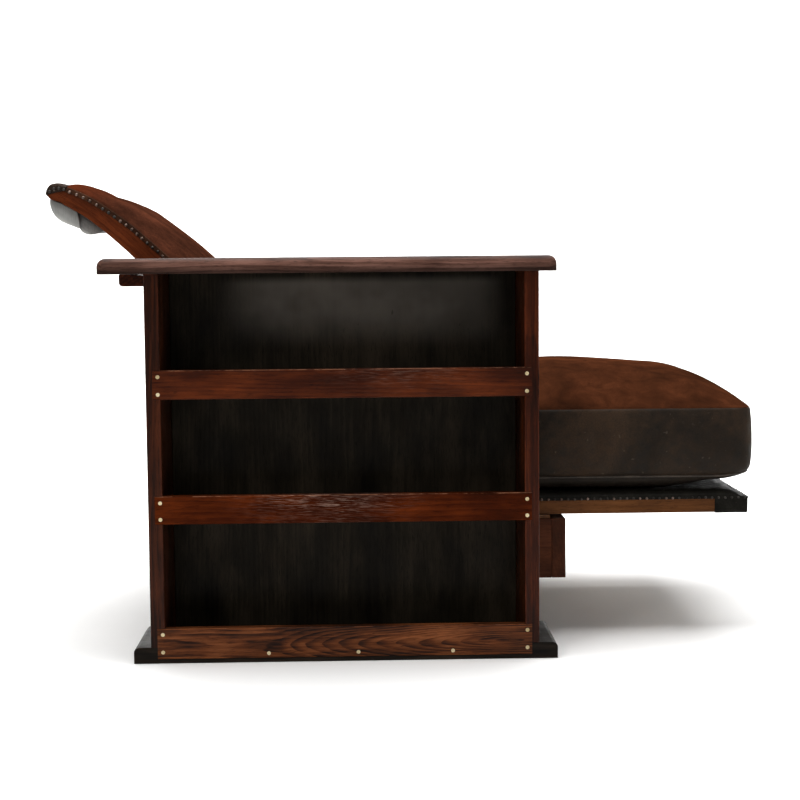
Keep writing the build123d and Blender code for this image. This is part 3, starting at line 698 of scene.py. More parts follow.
# ---------------------------------------------------------------- finishes of the wood and metal parts
DARK = dict(dark=(20, 9, 5), mid=(46, 21, 10), light=(80, 40, 20))
RAIL = dict(dark=(28, 10, 4), mid=(64, 26, 8), light=(110, 54, 22))
ARM = dict(dark=(54, 36, 30), mid=(104, 76, 66), light=(148, 113, 101))
FIGURED = dict(dark=(36, 18, 10), mid=(99, 55, 27), light=(140, 86, 50))
MIDR = dict(dark=(30, 10, 3), mid=(68, 26, 5), light=(112, 52, 16))
PLINTH = dict(dark=(15, 13, 11), mid=(34, 28, 22), light=(58, 47, 38))
PANEL = dict(dark=(20, 16, 12), mid=(41, 35, 26), light=(66, 57, 45))
SEATW = dict(dark=(60, 36, 17), mid=(96, 60, 29), light=(124, 82, 45))
STILE = dict(dark=(52, 25, 13), mid=(99, 50, 26), light=(134, 71, 38))
HIDDEN = dict(dark=(34, 17, 11), mid=(66, 34, 22), light=(96, 54, 36))
POST = dict(dark=(40, 21, 11), mid=(72, 38, 20), light=(102, 58, 33))
X, Y, Z = (1, 0, 0), (0, 1, 0), (0, 0, 1)

PLAN = {   # node ending: grain, colours, extra
    # arm_board: painted shade by height, low on its face and on its top
    "arm_board": (X, ARM, dict(coat=0.04, coat_rough=0.25, spec=0.06, streak=0.8, wear=(150, 112, 94), wear_amount=0.22,
                               painted_shade_bands=((577.0, 0.24), (580.5, 0.34), (585.0, 0.72), (589.0, 1.0), (595.0, 1.0),
                                      (598.0, 0.62), (600.0, 0.46)))),
    "rear_upright": (Z, DARK, dict(wear=(96, 48, 30))),
    "front_upright": (Z, RAIL, dict(wear=(118, 58, 34))),
    "base_board": (X, PLINTH, dict(spec=0.08, coat=0.04, wear=(72, 58, 48), wear_amount=0.6, rough=(0.35, 0.55))),
    # inner_panel: a painted light patch on the upper part of its outer face
    "inner_panel": (Z, PANEL, dict(streak=0.45, rings=0.1, clouds=1.3, rough=(0.38, 0.6), coat=0.03, spec=0.08,
                                 painted_light_patch=(-0.31, -0.21, 0.455, 0.520, 0.78, (124, 117, 109)))),
    "upper_shelf": (X, PANEL, dict(wear=(80, 48, 34))),
    "middle_shelf": (X, PANEL, dict(wear=(80, 48, 34))),
    # top_rail and middle_rail: streaks of painted sheen, and pale top-edge lines that are partly wear and partly
    # painted highlight
    "top_rail": (X, RAIL, dict(coat=0.08, coat_rough=0.2, streak=0.55, rings=0.1, wear=(176, 128, 100), wear_amount=0.8, top_edge_wear_and_highlight=True,
                               edge_width=0.0018, painted_sheen=(-0.02, 0.16, 0.16))),
    "middle_rail": (X, MIDR, dict(coat=0.02, coat_rough=0.2, streak=0.45, rings=0.1, wear=(176, 128, 100), wear_amount=0.8, top_edge_wear_and_highlight=True,
                                  edge_width=0.0018, spec=0.03, painted_sheen=(-0.13, 0.17, 0.6))),
    "bottom_rail": (X, FIGURED, dict(rings=0.38, ring_freq=330.0, streak=1.25, clouds=1.0, flame="row", ripple=2.6, wear=(140, 92, 66), top_edge_wear_and_highlight=True, edge_width=0.0018)),
    "subframe_rail": (X, POST, dict(streak=0.6, rings=0.08, rough=(0.45, 0.65), coat=0.03)),
    "slide_strip": (X, SEATW, dict(rough=(0.25, 0.4))),
    "guide_cleat": (X, HIDDEN, dict(rough=(0.5, 0.7), coat=0.0)),
    "travel_stops": (X, HIDDEN, dict(rough=(0.5, 0.7), coat=0.0)),
    "rear_cross_rail": (Y, RAIL, dict(wear=(120, 64, 40))),
    "front_apron": (Y, POST, dict(wear=(104, 62, 40), rings=0.08, streak=0.5, rough=(0.45, 0.65), coat=0.03)),
    "rear_stretcher": (Y, HIDDEN, dict(rough=(0.5, 0.7), coat=0.0)),
    "seat_rail": (X, SEATW, dict(rings=0.1, streak=0.55, clouds=0.8, wear=(140, 96, 58), coat=0.04, edge_width=0.0016)),
    "seat_front_rail": (Y, SEATW, dict(coat=0.1)),
    "seat_rear_rail": (Y, SEATW, dict(coat=0.1)),
    "hold_down": (X, HIDDEN, dict(rough=(0.5, 0.7), coat=0.0)),
    "back_stile": (X, STILE, dict(rings=0.12, streak=0.7, wear=None, coat=0.03, spec=0.05, curved=True)),
    "back_top_rail": (X, STILE, dict(rings=0.12, streak=0.7, wear=None, coat=0.03, spec=0.05, curved=True)),
    "back_cross_rail": (Y, HIDDEN, dict(coat=0.1)),
    "back_bottom_rail": (Y, HIDDEN, dict(coat=0.1)),
}
SLOTS = {"screws": "brass_screw", "hinge": "hinge_steel", "nails": "nail_steel"}
brass = metal("brass", (232, 220, 186), (176, 156, 112), (0.3, 0.5), 0.4, metallic=0.35)
steel = metal("hinge_steel", (138, 134, 126), (66, 56, 48), (0.35, 0.6), 0.8)
nickel = metal("nail_heads", (146, 128, 118), (66, 54, 48), (0.28, 0.5), 1.0)
dark_nail = metal("dull_nail_heads", (92, 88, 84), (30, 28, 26), (0.3, 0.5), 1.0)


def repaint(ob, mat):
    if not ob.data.materials:
        ob.data.materials.append(mat)
    for sl in ob.material_slots:
        sl.material = mat


_d = Vector(X).cross(Vector(Y)).normalized()
E1Z, E2Y = _d.z, Vector(X).cross(_d).normalized().y
seed = 0
for name in sorted(N):
    ob = N[name]
    seed += 1
    grain_seed = 4.386 if name.endswith(("back_stile", "back_top_rail")) else seed * 0.731
    if "screws" in name:
        repaint(ob, brass)
        continue
    if "hinge" in name:
        repaint(ob, steel)
        continue
    base = name.split("_", 1)[1] if name.startswith(("left_", "right_")) else name
    if base not in PLAN:
        continue
    grain, tone, extra = PLAN[base]
    extra = dict(extra)
    if extra.get("wear") is not None:
        extra["box"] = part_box(name)
    # the inner panel's painted light patch needs the board's box and the side of its outer face
    if extra.get("painted_light_patch") is not None:
        extra["box"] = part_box(name)
        extra["painted_light_patch"] = (-1.0 if name.startswith("right_") else 1.0,) + extra["painted_light_patch"]
    if extra.get("flame") == "row":
        b0, b1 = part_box(name)
        # pith beside the face, meeting it at the right-hand third; e1 of an X board is Z, e2 is -Y
        face = b0[1] if name.startswith("right_") else b1[1]
        extra["flame"] = (-0.20, (b0[2] + b1[2]) / 2 * E1Z - 0.004, E2Y * face, -0.10, 0.036)
    repaint(ob, wood("wood_" + name, grain, grain_seed, **tone, **extra))

# softly eased edges on the boards that come square from the saw
for name in sorted(N):
    if name.endswith(("back_stile", "back_top_rail", "back_cross_rail", "shelf", "rear_stretcher",
                      "seat_rear_rail", "inner_panel", "slide_strip", "hold_down")):
        ob = N[name]
        w = ob.modifiers.new("weld", "WELD")
        w.merge_threshold = 0.00002
        b = ob.modifiers.new("ease", "BEVEL")
        b.width = 0.0012
        b.segments = 3
        b.limit_method = "ANGLE"
        b.angle_limit = math.radians(50)
        b.harden_normals = False

# ---------------------------------------------------------------- soft finishes
M_top = suede("cushion_suede", (41, 24, 15), (67, 39, 24), (92, 55, 35), sheen=0.03)
M_box = hide("cushion_boxing", (19, 16, 12), (42, 32, 22), (64, 48, 34), patch_scale=6.0, cell=620.0, rough=(0.5, 0.7), grain=0.5,
             scuffs_and_glints=(104, 92, 80), scuffs_and_glints_amount=0.28, sheen=0.04, contrast=2.3)
M_under = hide("cushion_underside", (24, 20, 16), (42, 35, 28), (58, 49, 40), cell=620.0, rough=(0.45, 0.65), grain=0.5)
M_rust = hide("rust_leather", (44, 26, 18), (71, 42, 30), (96, 57, 41), cell=560.0, rough=(0.55, 0.75), grain=0.45,
              scuffs_and_glints=(126, 76, 48), scuffs_and_glints_amount=0.25, patch_scale=7.0, spec=0.0, head=((52, 26, 15), (88, 43, 24), (114, 59, 36)))
M_rust_edge = hide("rust_leather_edge", (38, 26, 19), (68, 46, 34), (98, 68, 51), cell=560.0, rough=(0.5, 0.7), grain=0.6, spec=0.02,
                   scuffs_and_glints=(128, 100, 84), scuffs_and_glints_amount=0.4)
# black leather: its light specks are partly wear and partly painted glints
M_black = hide("black_leather", (16, 15, 13), (35, 33, 29), (57, 54, 48), cell=480.0, rough=(0.3, 0.5), grain=0.7,
               coat=0.0, scuffs_and_glints=(92, 86, 78), scuffs_and_glints_amount=0.4, spec=0.05)
# nose leather: its bright specks are partly wear and partly painted glints
M_nose = hide("nose_leather", (30, 25, 22), (57, 47, 41), (92, 79, 71), cell=480.0, rough=(0.45, 0.65), grain=0.8,
              scuffs_and_glints=(150, 140, 132), scuffs_and_glints_amount=0.55, spec=0.01, patch_scale=26.0, contrast=1.1)
M_canvas = cloth("grey_canvas", (112, 112, 110), (164, 164, 162), 0.0013, soil=(120, 114, 104), soil_amount=0.3)
# the rolls' canvas: painted shade near the wood, painted light towards the fold
M_roll = cloth("grey_canvas_roll", (118, 118, 116), (174, 174, 171), 0.0013, uv=False, soil=(120, 114, 104), soil_amount=0.2, shade=True)
M_jute = cloth("webbing_jute", (112, 88, 58), (176, 148, 106), 0.0021, stripe=(74, 40, 30), soil=(90, 72, 52))


def place(ob, body, slot, *nodes):
    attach(ob, body)
    if nodes:
        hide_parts(*nodes)
    return ob


# ---------------------------------------------------------------- seat cushion
def spaced(half, first, step):
    """Positions from -half to half: close together at both ends, then about one step apart."""
    e = [0.0] + list(first)
    rest = 2 * (half - e[-1])
    n = max(2, int(round(rest / step)))
    mid = [-half + e[-1] + rest * i / n for i in range(1, n)]
    left = [-half + v for v in e]
    return np.array(left + mid + [-v for v in left[::-1]])


TOP_Z, LOW_Z = 358.0, 250.5
CROWN = np.array([(400, 352), (408, 366), (420, 381), (440, 395), (470, 407), (510, 416), (560, 422.5),
                  (610, 425.8), (650, 426.6), (690, 425.6), (740, 423.0), (790, 419.0), (826, 415.5),
                  (850, 411.2), (870, 405.2), (890, 396.8), (910, 385.8), (925, 375.2), (938, 366.2),
                  (947, 360.6), (952, 358.0), (960, 352)])


def plan(U, V, front, rear, half, r=26.0, a=275.0, b=256.0):
    """A rectangle's point to the cushion's outline: bowed front, rounded corners, sides pulled in."""
    U, V = np.broadcast_arrays(U, V)
    dx = np.clip((np.abs(U) - (a - r)) / r, 0, None)
    dy = np.clip((np.abs(V) - (b - r)) / r, 0, None)
    both = (dx > 0) & (dy > 0)
    u2 = np.where(both, np.sign(U) * (a - r + r * dx * np.sqrt(1 - dy**2 / 2)), U)
    v2 = np.where(both, np.sign(V) * (b - r + r * dy * np.sqrt(1 - dx**2 / 2)), V)
    t = np.clip(np.abs(v2) / b, 0, 1)
    xf = front - 21.0 * t**2.3
    xr = rear + 7.0 * t**3
    x = xr + (xf - xr) * (u2 + a) / (2 * a)
    w = half - 3.0 * (1 - np.clip((x - 678) / 275, -1, 1)**2)
    return x, v2 / b * w


def cushion():
    us = spaced(275.0, (2.5, 6.0, 12.0), 9.5)
    vs = spaced(256.0, (2.5, 6.0, 12.0), 9.5)
    nu, nv = len(us), len(vs)
    U, V = np.meshgrid(us, vs, indexing="ij")
    tx, ty = plan(U, V, 951.5, 405.0, 255.0)
    bx, by = plan(U, V, 948.0, 411.0, 249.5)
    cz = np.interp(405.0 + (U + 275.0) / 550.0 * 546.5, CROWN[:, 0], CROWN[:, 1])
    f = (1 - np.abs(V / 256.0)**3.0)**0.85
    inner = np.clip((275.0 - np.abs(U)) / 14.0, 0, 1)
    tz = TOP_Z + (np.maximum(cz - TOP_Z, 0)) * f * np.where(inner < 1, 0.35 + 0.65 * inner, 1.0)
    edge_row = (np.abs(U) > 274.9) | (np.abs(V) > 255.9)
    tz[edge_row] = TOP_Z
    d = np.minimum(275.0 - np.abs(U), 256.0 - np.abs(V))
    k = np.clip(d / 40.0, 0, 1)
    drop = 1 - np.sqrt(np.clip(1 - (1 - k)**2, 0, 1))
    low = 228.9 + 13.5 * smooth(785, 900, bx) + 9.0 * smooth(890, 940, bx)
    seam = LOW_Z + 6.0 * smooth(878, 945, bx)
    bz = low + (seam - low) * drop
    top, bot = W(tx, ty, tz), W(bx, by, bz)
    loop = ([(i, 0) for i in range(nu)] + [(nu - 1, j) for j in range(1, nv)]
            + [(i, nv - 1) for i in range(nu - 2, -1, -1)] + [(0, j) for j in range(nv - 2, 0, -1)])
    L = len(loop)
    nt = nu * nv
    verts = [top.reshape(-1, 3), bot.reshape(-1, 3)]
    ts = np.array([0, 2.5, 6.0, 12.0] + list(np.linspace(12, 95.5, 11)[1:-1]) + [95.5, 101.5, 105.0, 107.5]) / 107.5
    PT = np.array([top[i, j] for i, j in loop])
    PB = np.array([bot[i, j] for i, j in loop])
    tang = np.roll(PT, -1, 0) - np.roll(PT, 1, 0)
    out = np.stack([tang[:, 1], -tang[:, 0], np.zeros(L)], -1)
    out /= np.linalg.norm(out, axis=1, keepdims=True)
    rows = []
    for t in ts[1:-1]:
        belly = math.sin(math.pi * t**0.8)**0.7
        amount = 0.0048 - 0.0018 * np.clip(out[:, 0], 0, 1)**2
        turn = math.sqrt(max(0.0, 1 - (1 - min(t / 0.11, 1.0))**2))
        e = turn * (0.86 + 0.14 * t)
        rows.append(PB + (PT - PB) * np.array([e, e, t]) + out * (amount * belly)[:, None])
    verts += rows
    verts = np.vstack(verts)
    faces, mi, uv = [], [], []
    for i in range(nu - 1):
        for j in range(nv - 1):
            a = i * nv + j
            q = (a, a + nv, a + nv + 1, a + 1)
            faces.append(q)
            mi.append(0)
            uv.append(verts[list(q)][:, :2])
            q = (nt + a + 1, nt + a + nv + 1, nt + a + nv, nt + a)
            faces.append(q)
            mi.append(2)
            uv.append(verts[list(q)][:, :2])
    idx = [[nt + i * nv + j for i, j in loop]]
    for k in range(len(rows)):
        idx.append([2 * nt + k * L + p for p in range(L)])
    idx.append([i * nv + j for i, j in loop])
    run = np.concatenate([[0], np.cumsum(np.linalg.norm(np.roll(PT, -1, 0) - PT, axis=1))])
    for k in range(len(idx) - 1):
        for p in range(L):
            p2 = (p + 1) % L
            faces.append((idx[k][p], idx[k][p2], idx[k + 1][p2], idx[k + 1][p]))
            mi.append(1)
            z0, z1 = ts[k] * 0.1075, ts[k + 1] * 0.1075
            uv.append([(run[p], z0), (run[p + 1], z0), (run[p + 1], z1), (run[p], z1)])
    ob = new_object("seat_cushion_soft", verts, faces, [M_top, M_box, M_under], mi, uv)
    # the two seams hold, and so does the underside where it lies on the platform
    pin = np.zeros(len(verts))
    for r in (idx[0], idx[-1]):
        pin[r] = 1.0
    flat = np.zeros(nt)
    flat[(d > 42).reshape(-1)] = 1.0
    pin[nt:2 * nt] = np.maximum(pin[nt:2 * nt], flat)
    simulate(ob, pin, frames=20, pressure=3.2, tension=18, bending=0.4, shrink=-0.012, cap=0.022)
    co = verts + (coords(ob) - verts) * 0.45
    # the crown is held to its designed height along the middle, whatever the fill does
    mid = nv // 2
    row = co[[i * nv + mid for i in range(nu)]]
    sx, sz = row[:, 0] * 1000 + OX, row[:, 2] * 1000
    want = np.interp(sx, CROWN[:, 0], CROWN[:, 1])
    have = np.maximum(sz - TOP_Z, 1.0)
    ratio = np.clip(np.maximum(want - TOP_Z, 0.5) / have, 0.6, 1.6)
    ratio = np.convolve(np.pad(ratio, 2, "edge"), np.ones(5) / 5, "valid")
    t = co[:nt]
    rr = np.interp(t[:, 0] * 1000 + OX, sx, ratio)
    zz = t[:, 2] * 1000
    t[:, 2] = np.where(zz > TOP_Z, TOP_Z + (zz - TOP_Z) * rr, zz) / 1000
    # lumps of the filling, seams drawn in
    bulk = noise3(co, 11.0, 1.0) * 1.6 + noise3(co, 26.0, 2.0) * 0.5
    up = np.zeros_like(co)
    up[:nt, 2] = bulk[:nt] * smooth(0, 60, d.reshape(-1))
    side = np.zeros_like(co)
    for k, r in enumerate(idx[1:-1]):
        side[r] = out * (bulk[r] * math.sin(math.pi * ts[k + 1]))[:, None]
    co = co + (up + side * 0.7) / 1000
    for r, inw in ((idx[-1], 1.3), (idx[0], 0.9)):
        co[r] -= out * inw / 1000
    # ease the top panel's own edge down into the seam
    co[:, 1] = np.clip(co[:, 1], -0.2612, 0.2612)
    low_side = np.arange(len(co)) >= nt
    co[low_side & (np.arange(len(co)) < 2 * nt), 2] = np.maximum(
        co[low_side & (np.arange(len(co)) < 2 * nt), 2], 0.2286)
    set_coords(ob, co)
    bottom_loop = co[idx[0]] + out * 0.0012
    subdivide(ob, 1)
    place(ob, "seat", "suede_brown", "seat_cushion")
    # the welt sewn into the lower seam
    n = len(bottom_loop)
    loop2 = bottom_loop + np.array([0, 0, -0.0004])
    run2 = np.concatenate([[0], np.cumsum(np.linalg.norm(np.roll(loop2, -1, 0) - loop2, axis=1))])
    sample = np.arange(0, run2[-1] - 0.001, 0.0035)
    closed = np.vstack([loop2, loop2[:1]])
    path = np.stack([np.interp(sample, run2, closed[:, c]) for c in range(3)], -1)
    for _ in range(2):
        path = (np.roll(path, 1, 0) + path * 2 + np.roll(path, -1, 0)) / 4
    welt = tube("seat_cushion_welt", path, 0.0019 + 0.00012 * noise3(path, 160.0, 3.0), M_welt, 10, closed=True)
    place(welt, "seat", "leather_black")
    return ob


M_welt = hide("welt_leather", (40, 35, 31), (66, 58, 51), (98, 88, 78), cell=700.0, rough=(0.3, 0.45), grain=0.3, coat=0.2)
cushion()


# ---------------------------------------------------------------- upholstered back
NAIL_S = []
s = 28.3
while s < BACK_L - 26.0 - 4:
    NAIL_S.append(s)
    s += 10.4
NAIL_S = np.array(NAIL_S)


def across(y_edge, step):
    """Positions over the width, closer together at the stiles."""
    e = [0.0, 2.0, 5.0, 9.0, 15.0, 23.0]
    rest = 2 * (y_edge - e[-1])
    n = int(round(rest / step))
    mid = [-y_edge + e[-1] + rest * i / n for i in range(1, n)]
    left = [-y_edge + v for v in e]
    return np.array(left + mid + [-v for v in left[::-1]])


def shoulder(t, p=2.6, q=0.62):
    return (1 - np.clip(np.abs(t), 0, 1)**p)**q


CREST = np.array([(20.2, 31.0, 31.6), (21.2, 33.2, 34.4), (23.0, 34.2, 37.2), (28.0, 35.0, 39.4), (36.0, 35.6, 41.2),
                  (46.0, 36.0, 42.2), (56.0, 37.0, 42.6), (70.0, 42.5, 45.5), (90.0, 50.0, 51.5), (120.0, 58.0, 58.4)])


def back_pad(name, line, s0, s1, step, seed, press, blend=0.45):
    """A stuffed section of the back: leather over the stuffing, turned down over both stiles and nailed."""
    line = np.array(line)
    e = [0.0, 1.0, 3.0, 6.0, 10.0]
    n = int(round((s1 - s0 - 20) / step))
    ss = np.array([s0 + v for v in e] + [s0 + 10 + (s1 - s0 - 20) * i / n for i in range(1, n)]
                  + [s1 - v for v in e[::-1]]) if s1 - s0 > 60 else np.array(list(np.linspace(s0, s1 - 1.8, 16)) + [s1 - 1.2, s1 - 0.6, s1])
    ys = across(255.9, 10.0)
    flap = np.array([-7.0, -5.6, -4.4, -3.0, -1.2, 0.6])
    nf, m = len(flap), len(ys)
    P, UV, SS = [], [], []
    for s in ss:
        dep = float(depth(s))
        crown = float(np.interp(s, line[:, 0], line[:, 1]))
        w = float(smooth(60, 150, s))
        g = shoulder(ys / 255.9, 5.0 - 2.4 * w, 0.55 + 0.07 * w)
        if s < 100:
            # arched across; the crease between the pads fades out towards the sides
            side = np.where(ys < 0, np.interp(s, CREST[:, 0], CREST[:, 2]), np.interp(s, CREST[:, 0], CREST[:, 1]))
            side = side - 3.5 * (smooth(56.2, 57.8, s) if s1 < 60 else 1 - smooth(54.2, 55.8, s))
            crown = crown + (side - crown) * smooth(0.0, 0.62, np.abs(ys) / 255.9) * (1 - smooth(80, 100, s))
        v = dep + 1.4 + (crown - dep - 1.4) * g
        left = bp(np.full(nf, s), dep + flap, np.full(nf, -257.1))
        mid = bp(np.full(m, s), v, ys)
        right = bp(np.full(nf, s), dep + flap[::-1], np.full(nf, 257.1))
        P.append(np.vstack([left, mid, right]))
        run = np.concatenate([[0], np.cumsum(np.linalg.norm(np.diff(P[-1], axis=0), axis=1))])
        UV.append(np.stack([run, np.full(len(run), s / 1000)], -1))
        SS.append(s)
    P, UV = np.array(P), np.array(UV)
    nu, nv = P.shape[:2]
    ob = grid_object(name, P, UV, M_rust, flip=False)
    pin = np.zeros((nu, nv))
    pin[:, :nf + 1] = 1
    pin[:, -nf - 1:] = 1
    pin[0] = pin[-1] = 1
    simulate(ob, pin.reshape(-1), frames=18, pressure=press, tension=20, bending=0.5, shrink=-0.010, cap=0.022)
    keep = blend * smooth(s0 + 2, s0 + 50, np.array(SS)) if s1 - s0 > 60 else np.full(nu, blend)
    co = P + (coords(ob).reshape(nu, nv, 3) - P) * keep[:, None, None]
    # back to the designed crown along the middle
    x, z, tx, tz = edge_at(np.array(SS))
    nx, nz = -tz, tx
    base = W(x, 0, z)
    rel = co - base[:, None]
    v = (rel[..., 0] * nx[:, None] + rel[..., 2] * nz[:, None]) * 1000
    mid = nf + m // 2
    want = np.interp(SS, line[:, 0], line[:, 1])
    dep = depth(np.array(SS))
    ratio = np.clip((want - dep) / np.maximum(v[:, mid] - dep, 0.5), 0.5, 1.5)
    if nu > 12:
        sm = np.convolve(np.pad(ratio, 2, "edge"), np.ones(5) / 5, "valid")
        ratio = np.where((np.arange(nu) > 3) & (np.arange(nu) < nu - 4), sm, ratio)
    v2 = np.where(v > dep[:, None] + 1.0, dep[:, None] + (v - dep[:, None]) * ratio[:, None], v)
    bulk = noise3(co, 9.0, seed) * 1.5 + noise3(co, 24.0, seed + 1) * 0.6
    fade = np.zeros((nu, nv))
    fade[:, nf:nf + m] = shoulder(ys / 255.9)[None]
    endfade = smooth(0, 30, np.array(SS) - s0) * smooth(0, 30, s1 - np.array(SS)) if s1 - s0 > 60 else np.full(nu, 0.15)
    v2 = v2 + bulk * fade * endfade[:, None]
    dv = (v2 - v) / 1000
    co[..., 0] += dv * nx[:, None]
    co[..., 2] += dv * nz[:, None]
    # a closed form: the underside lies just above the frame
    sections = []
    for i, s in enumerate(SS):
        dpt = float(depth(s))
        yy = np.linspace(255.6, -255.6, 14)
        under = bp(np.full(14, s), np.full(14, dpt + 0.5), yy)
        inl = bp(np.array([s]), np.array([dpt - 7.0]), np.array([-255.6]))
        inr = bp(np.array([s]), np.array([dpt - 7.0]), np.array([255.6]))
        sections.append(np.vstack([co[i], inr, under, inl]))
    me = ob.data
    bpy.data.objects.remove(ob)
    bpy.data.meshes.remove(me)
    ob = loft(name, sections, M_rust, flip=True)
    # the turned-down edge round the nails has gone dark
    ob.data.materials.append(M_rust_edge)
    per = np.asarray(sections).shape[1]
    idx = np.zeros(len(ob.data.polygons), np.int32)
    j = np.arange((nu - 1) * per) % per
    idx[:(nu - 1) * per][(j < nf) | ((j >= nf + m - 1) & (j < 2 * nf + m - 1))] = 1
    ob.data.polygons.foreach_set("material_index", idx)
    subdivide(ob, 1)
    return ob


HEAD_LINE = [(20.2, 31.0), (21.2, 34.5), (23.0, 37.0), (26.0, 38.8), (31.0, 39.6), (38.0, 40.0), (45.0, 40.4), (50.5, 40.4),
             (53.6, 39.6), (55.2, 38.4), (56.4, 36.8), (57.8, 33.5)]
MAIN_LINE = [(54.2, 33.5), (55.4, 37.0), (56.8, 39.4), (58.2, 41.6), (61.0, 43.8), (66.0, 46.4), (76.0, 50.0), (93.0, 54.8), (120.0, 58.0),
             (159.0, 63.4), (202.0, 66.6), (300.0, 69.4), (420.0, 72.0), (540.0, 74.0), (610.0, 73.0),
             (645.0, 69.5), (665.0, 63.5), (676.0, 56.0), (682.0, 47.0), (684.6, 38.0)]
main = back_pad("main_pad_soft", MAIN_LINE, 54.2, 684.6, 9.0, 4.0, 2.6)
place(main, "back", "leather_rust", "main_pad")
head = back_pad("head_pad_soft", HEAD_LINE, 20.2, 57.8, 3.0, 6.0, 1.5, 0.12)
place(head, "back", "leather_rust", "head_pad")


# ---------------------------------------------------------------- black leather over the top end
def top_wrap():
    nose = np.array([(21.6, 25.3), (17.0, 24.6), (12.0, 23.8), (8.0, 22.9), (5.0, 21.5), (2.2, 19.6), (0.5, 17.5),
                     (-0.7, 14.8), (-1.2, 12.0), (-1.1, 9.0), (-0.5, 6.0), (0.8, 3.4)])
    fine = np.linspace(0, len(nose) - 1, 34)
    q = np.stack([np.interp(fine, np.arange(len(nose)), nose[:, c]) for c in (0, 1)], -1)
    for _ in range(3):
        q[1:-1] = (q[:-2] + 2 * q[1:-1] + q[2:]) / 4
    t = np.gradient(q, axis=0)
    t /= np.linalg.norm(t, axis=1, keepdims=True)
    nrm = np.stack([t[:, 1], -t[:, 0]], -1)
    if nrm[0, 1] < 0:
        nrm = -nrm
    k = np.linspace(0, 1, len(q))
    lift = 4.2 * (1 - smooth(0.35, 0.86, k))
    ys = across(255.9, 9.0)
    flat = shoulder(ys / 255.9, 7.0, 0.5)
    border_a, border_b = np.array([21.6, 20.4]), np.array([0.2, 5.2])
    P = []
    for i in range(len(q)):
        amt = 1.5 + 0.9 * smooth(0.3, 0.6, k[i]) - 1.5 * smooth(0.86, 1.0, k[i]) + lift[i] * flat
        prof = q[i][None] + nrm[i][None] * amt[:, None]
        side = q[i] + nrm[i] * (1.5 + 0.9 * smooth(0.3, 0.6, k[i]) - 1.5 * smooth(0.86, 1.0, k[i]))
        w = np.clip((q[i][0] - border_b[0]) / (border_a[0] - border_b[0]), 0, 1)
        foot = border_b + (border_a - border_b) * w
        if k[i] > 0.8:
            foot = foot + (side - foot) * smooth(0.8, 1.0, k[i])
        fl = np.array([foot + (side - foot) * f for f in (0.0, 0.25, 0.5, 0.75, 0.94)])
        L = bp(fl[:, 0], fl[:, 1], np.full(5, -257.0))
        R = bp(fl[::-1, 0], fl[::-1, 1], np.full(5, 257.0))
        C = bp(prof[:, 0], prof[:, 1], ys)
        P.append(np.vstack([L, C, R]))
    P = np.array(P)
    wr = noise3(P, 60.0, 8.0) * 0.9 + noise3(P, 150.0, 9.0) * 0.45
    nyy = np.abs(P[..., 1])
    pleat = np.sin(P[..., 1] * 420.0 + noise3(P, 20.0, 3.0) * 3) * smooth(0.2, 0.256, nyy) * 0.5
    x, z, tx, tz = edge_at(np.clip(q[:, 0], 0, None))
    amp = (wr + pleat) / 1000
    P[..., 0] += amp * (-tz)[:, None] * 0.8
    P[..., 2] += amp * tx[:, None] * 0.8
    run = np.cumsum(np.linalg.norm(np.diff(P, axis=1, prepend=P[:, :1]), axis=2), axis=1)
    uv = np.stack([run, np.broadcast_to(k[:, None] * 0.05, run.shape)], -1)
    ob = grid_object("top_rail_leather", P, uv, M_nose, flip=True)
    subdivide(ob, 1)
    m = ob.modifiers.new("thickness", "SOLIDIFY")
    m.thickness = 0.0012
    m.offset = -1.0
    return ob


wrap = top_wrap()
place(wrap, "back", "leather_black", "top_rail_wrap")


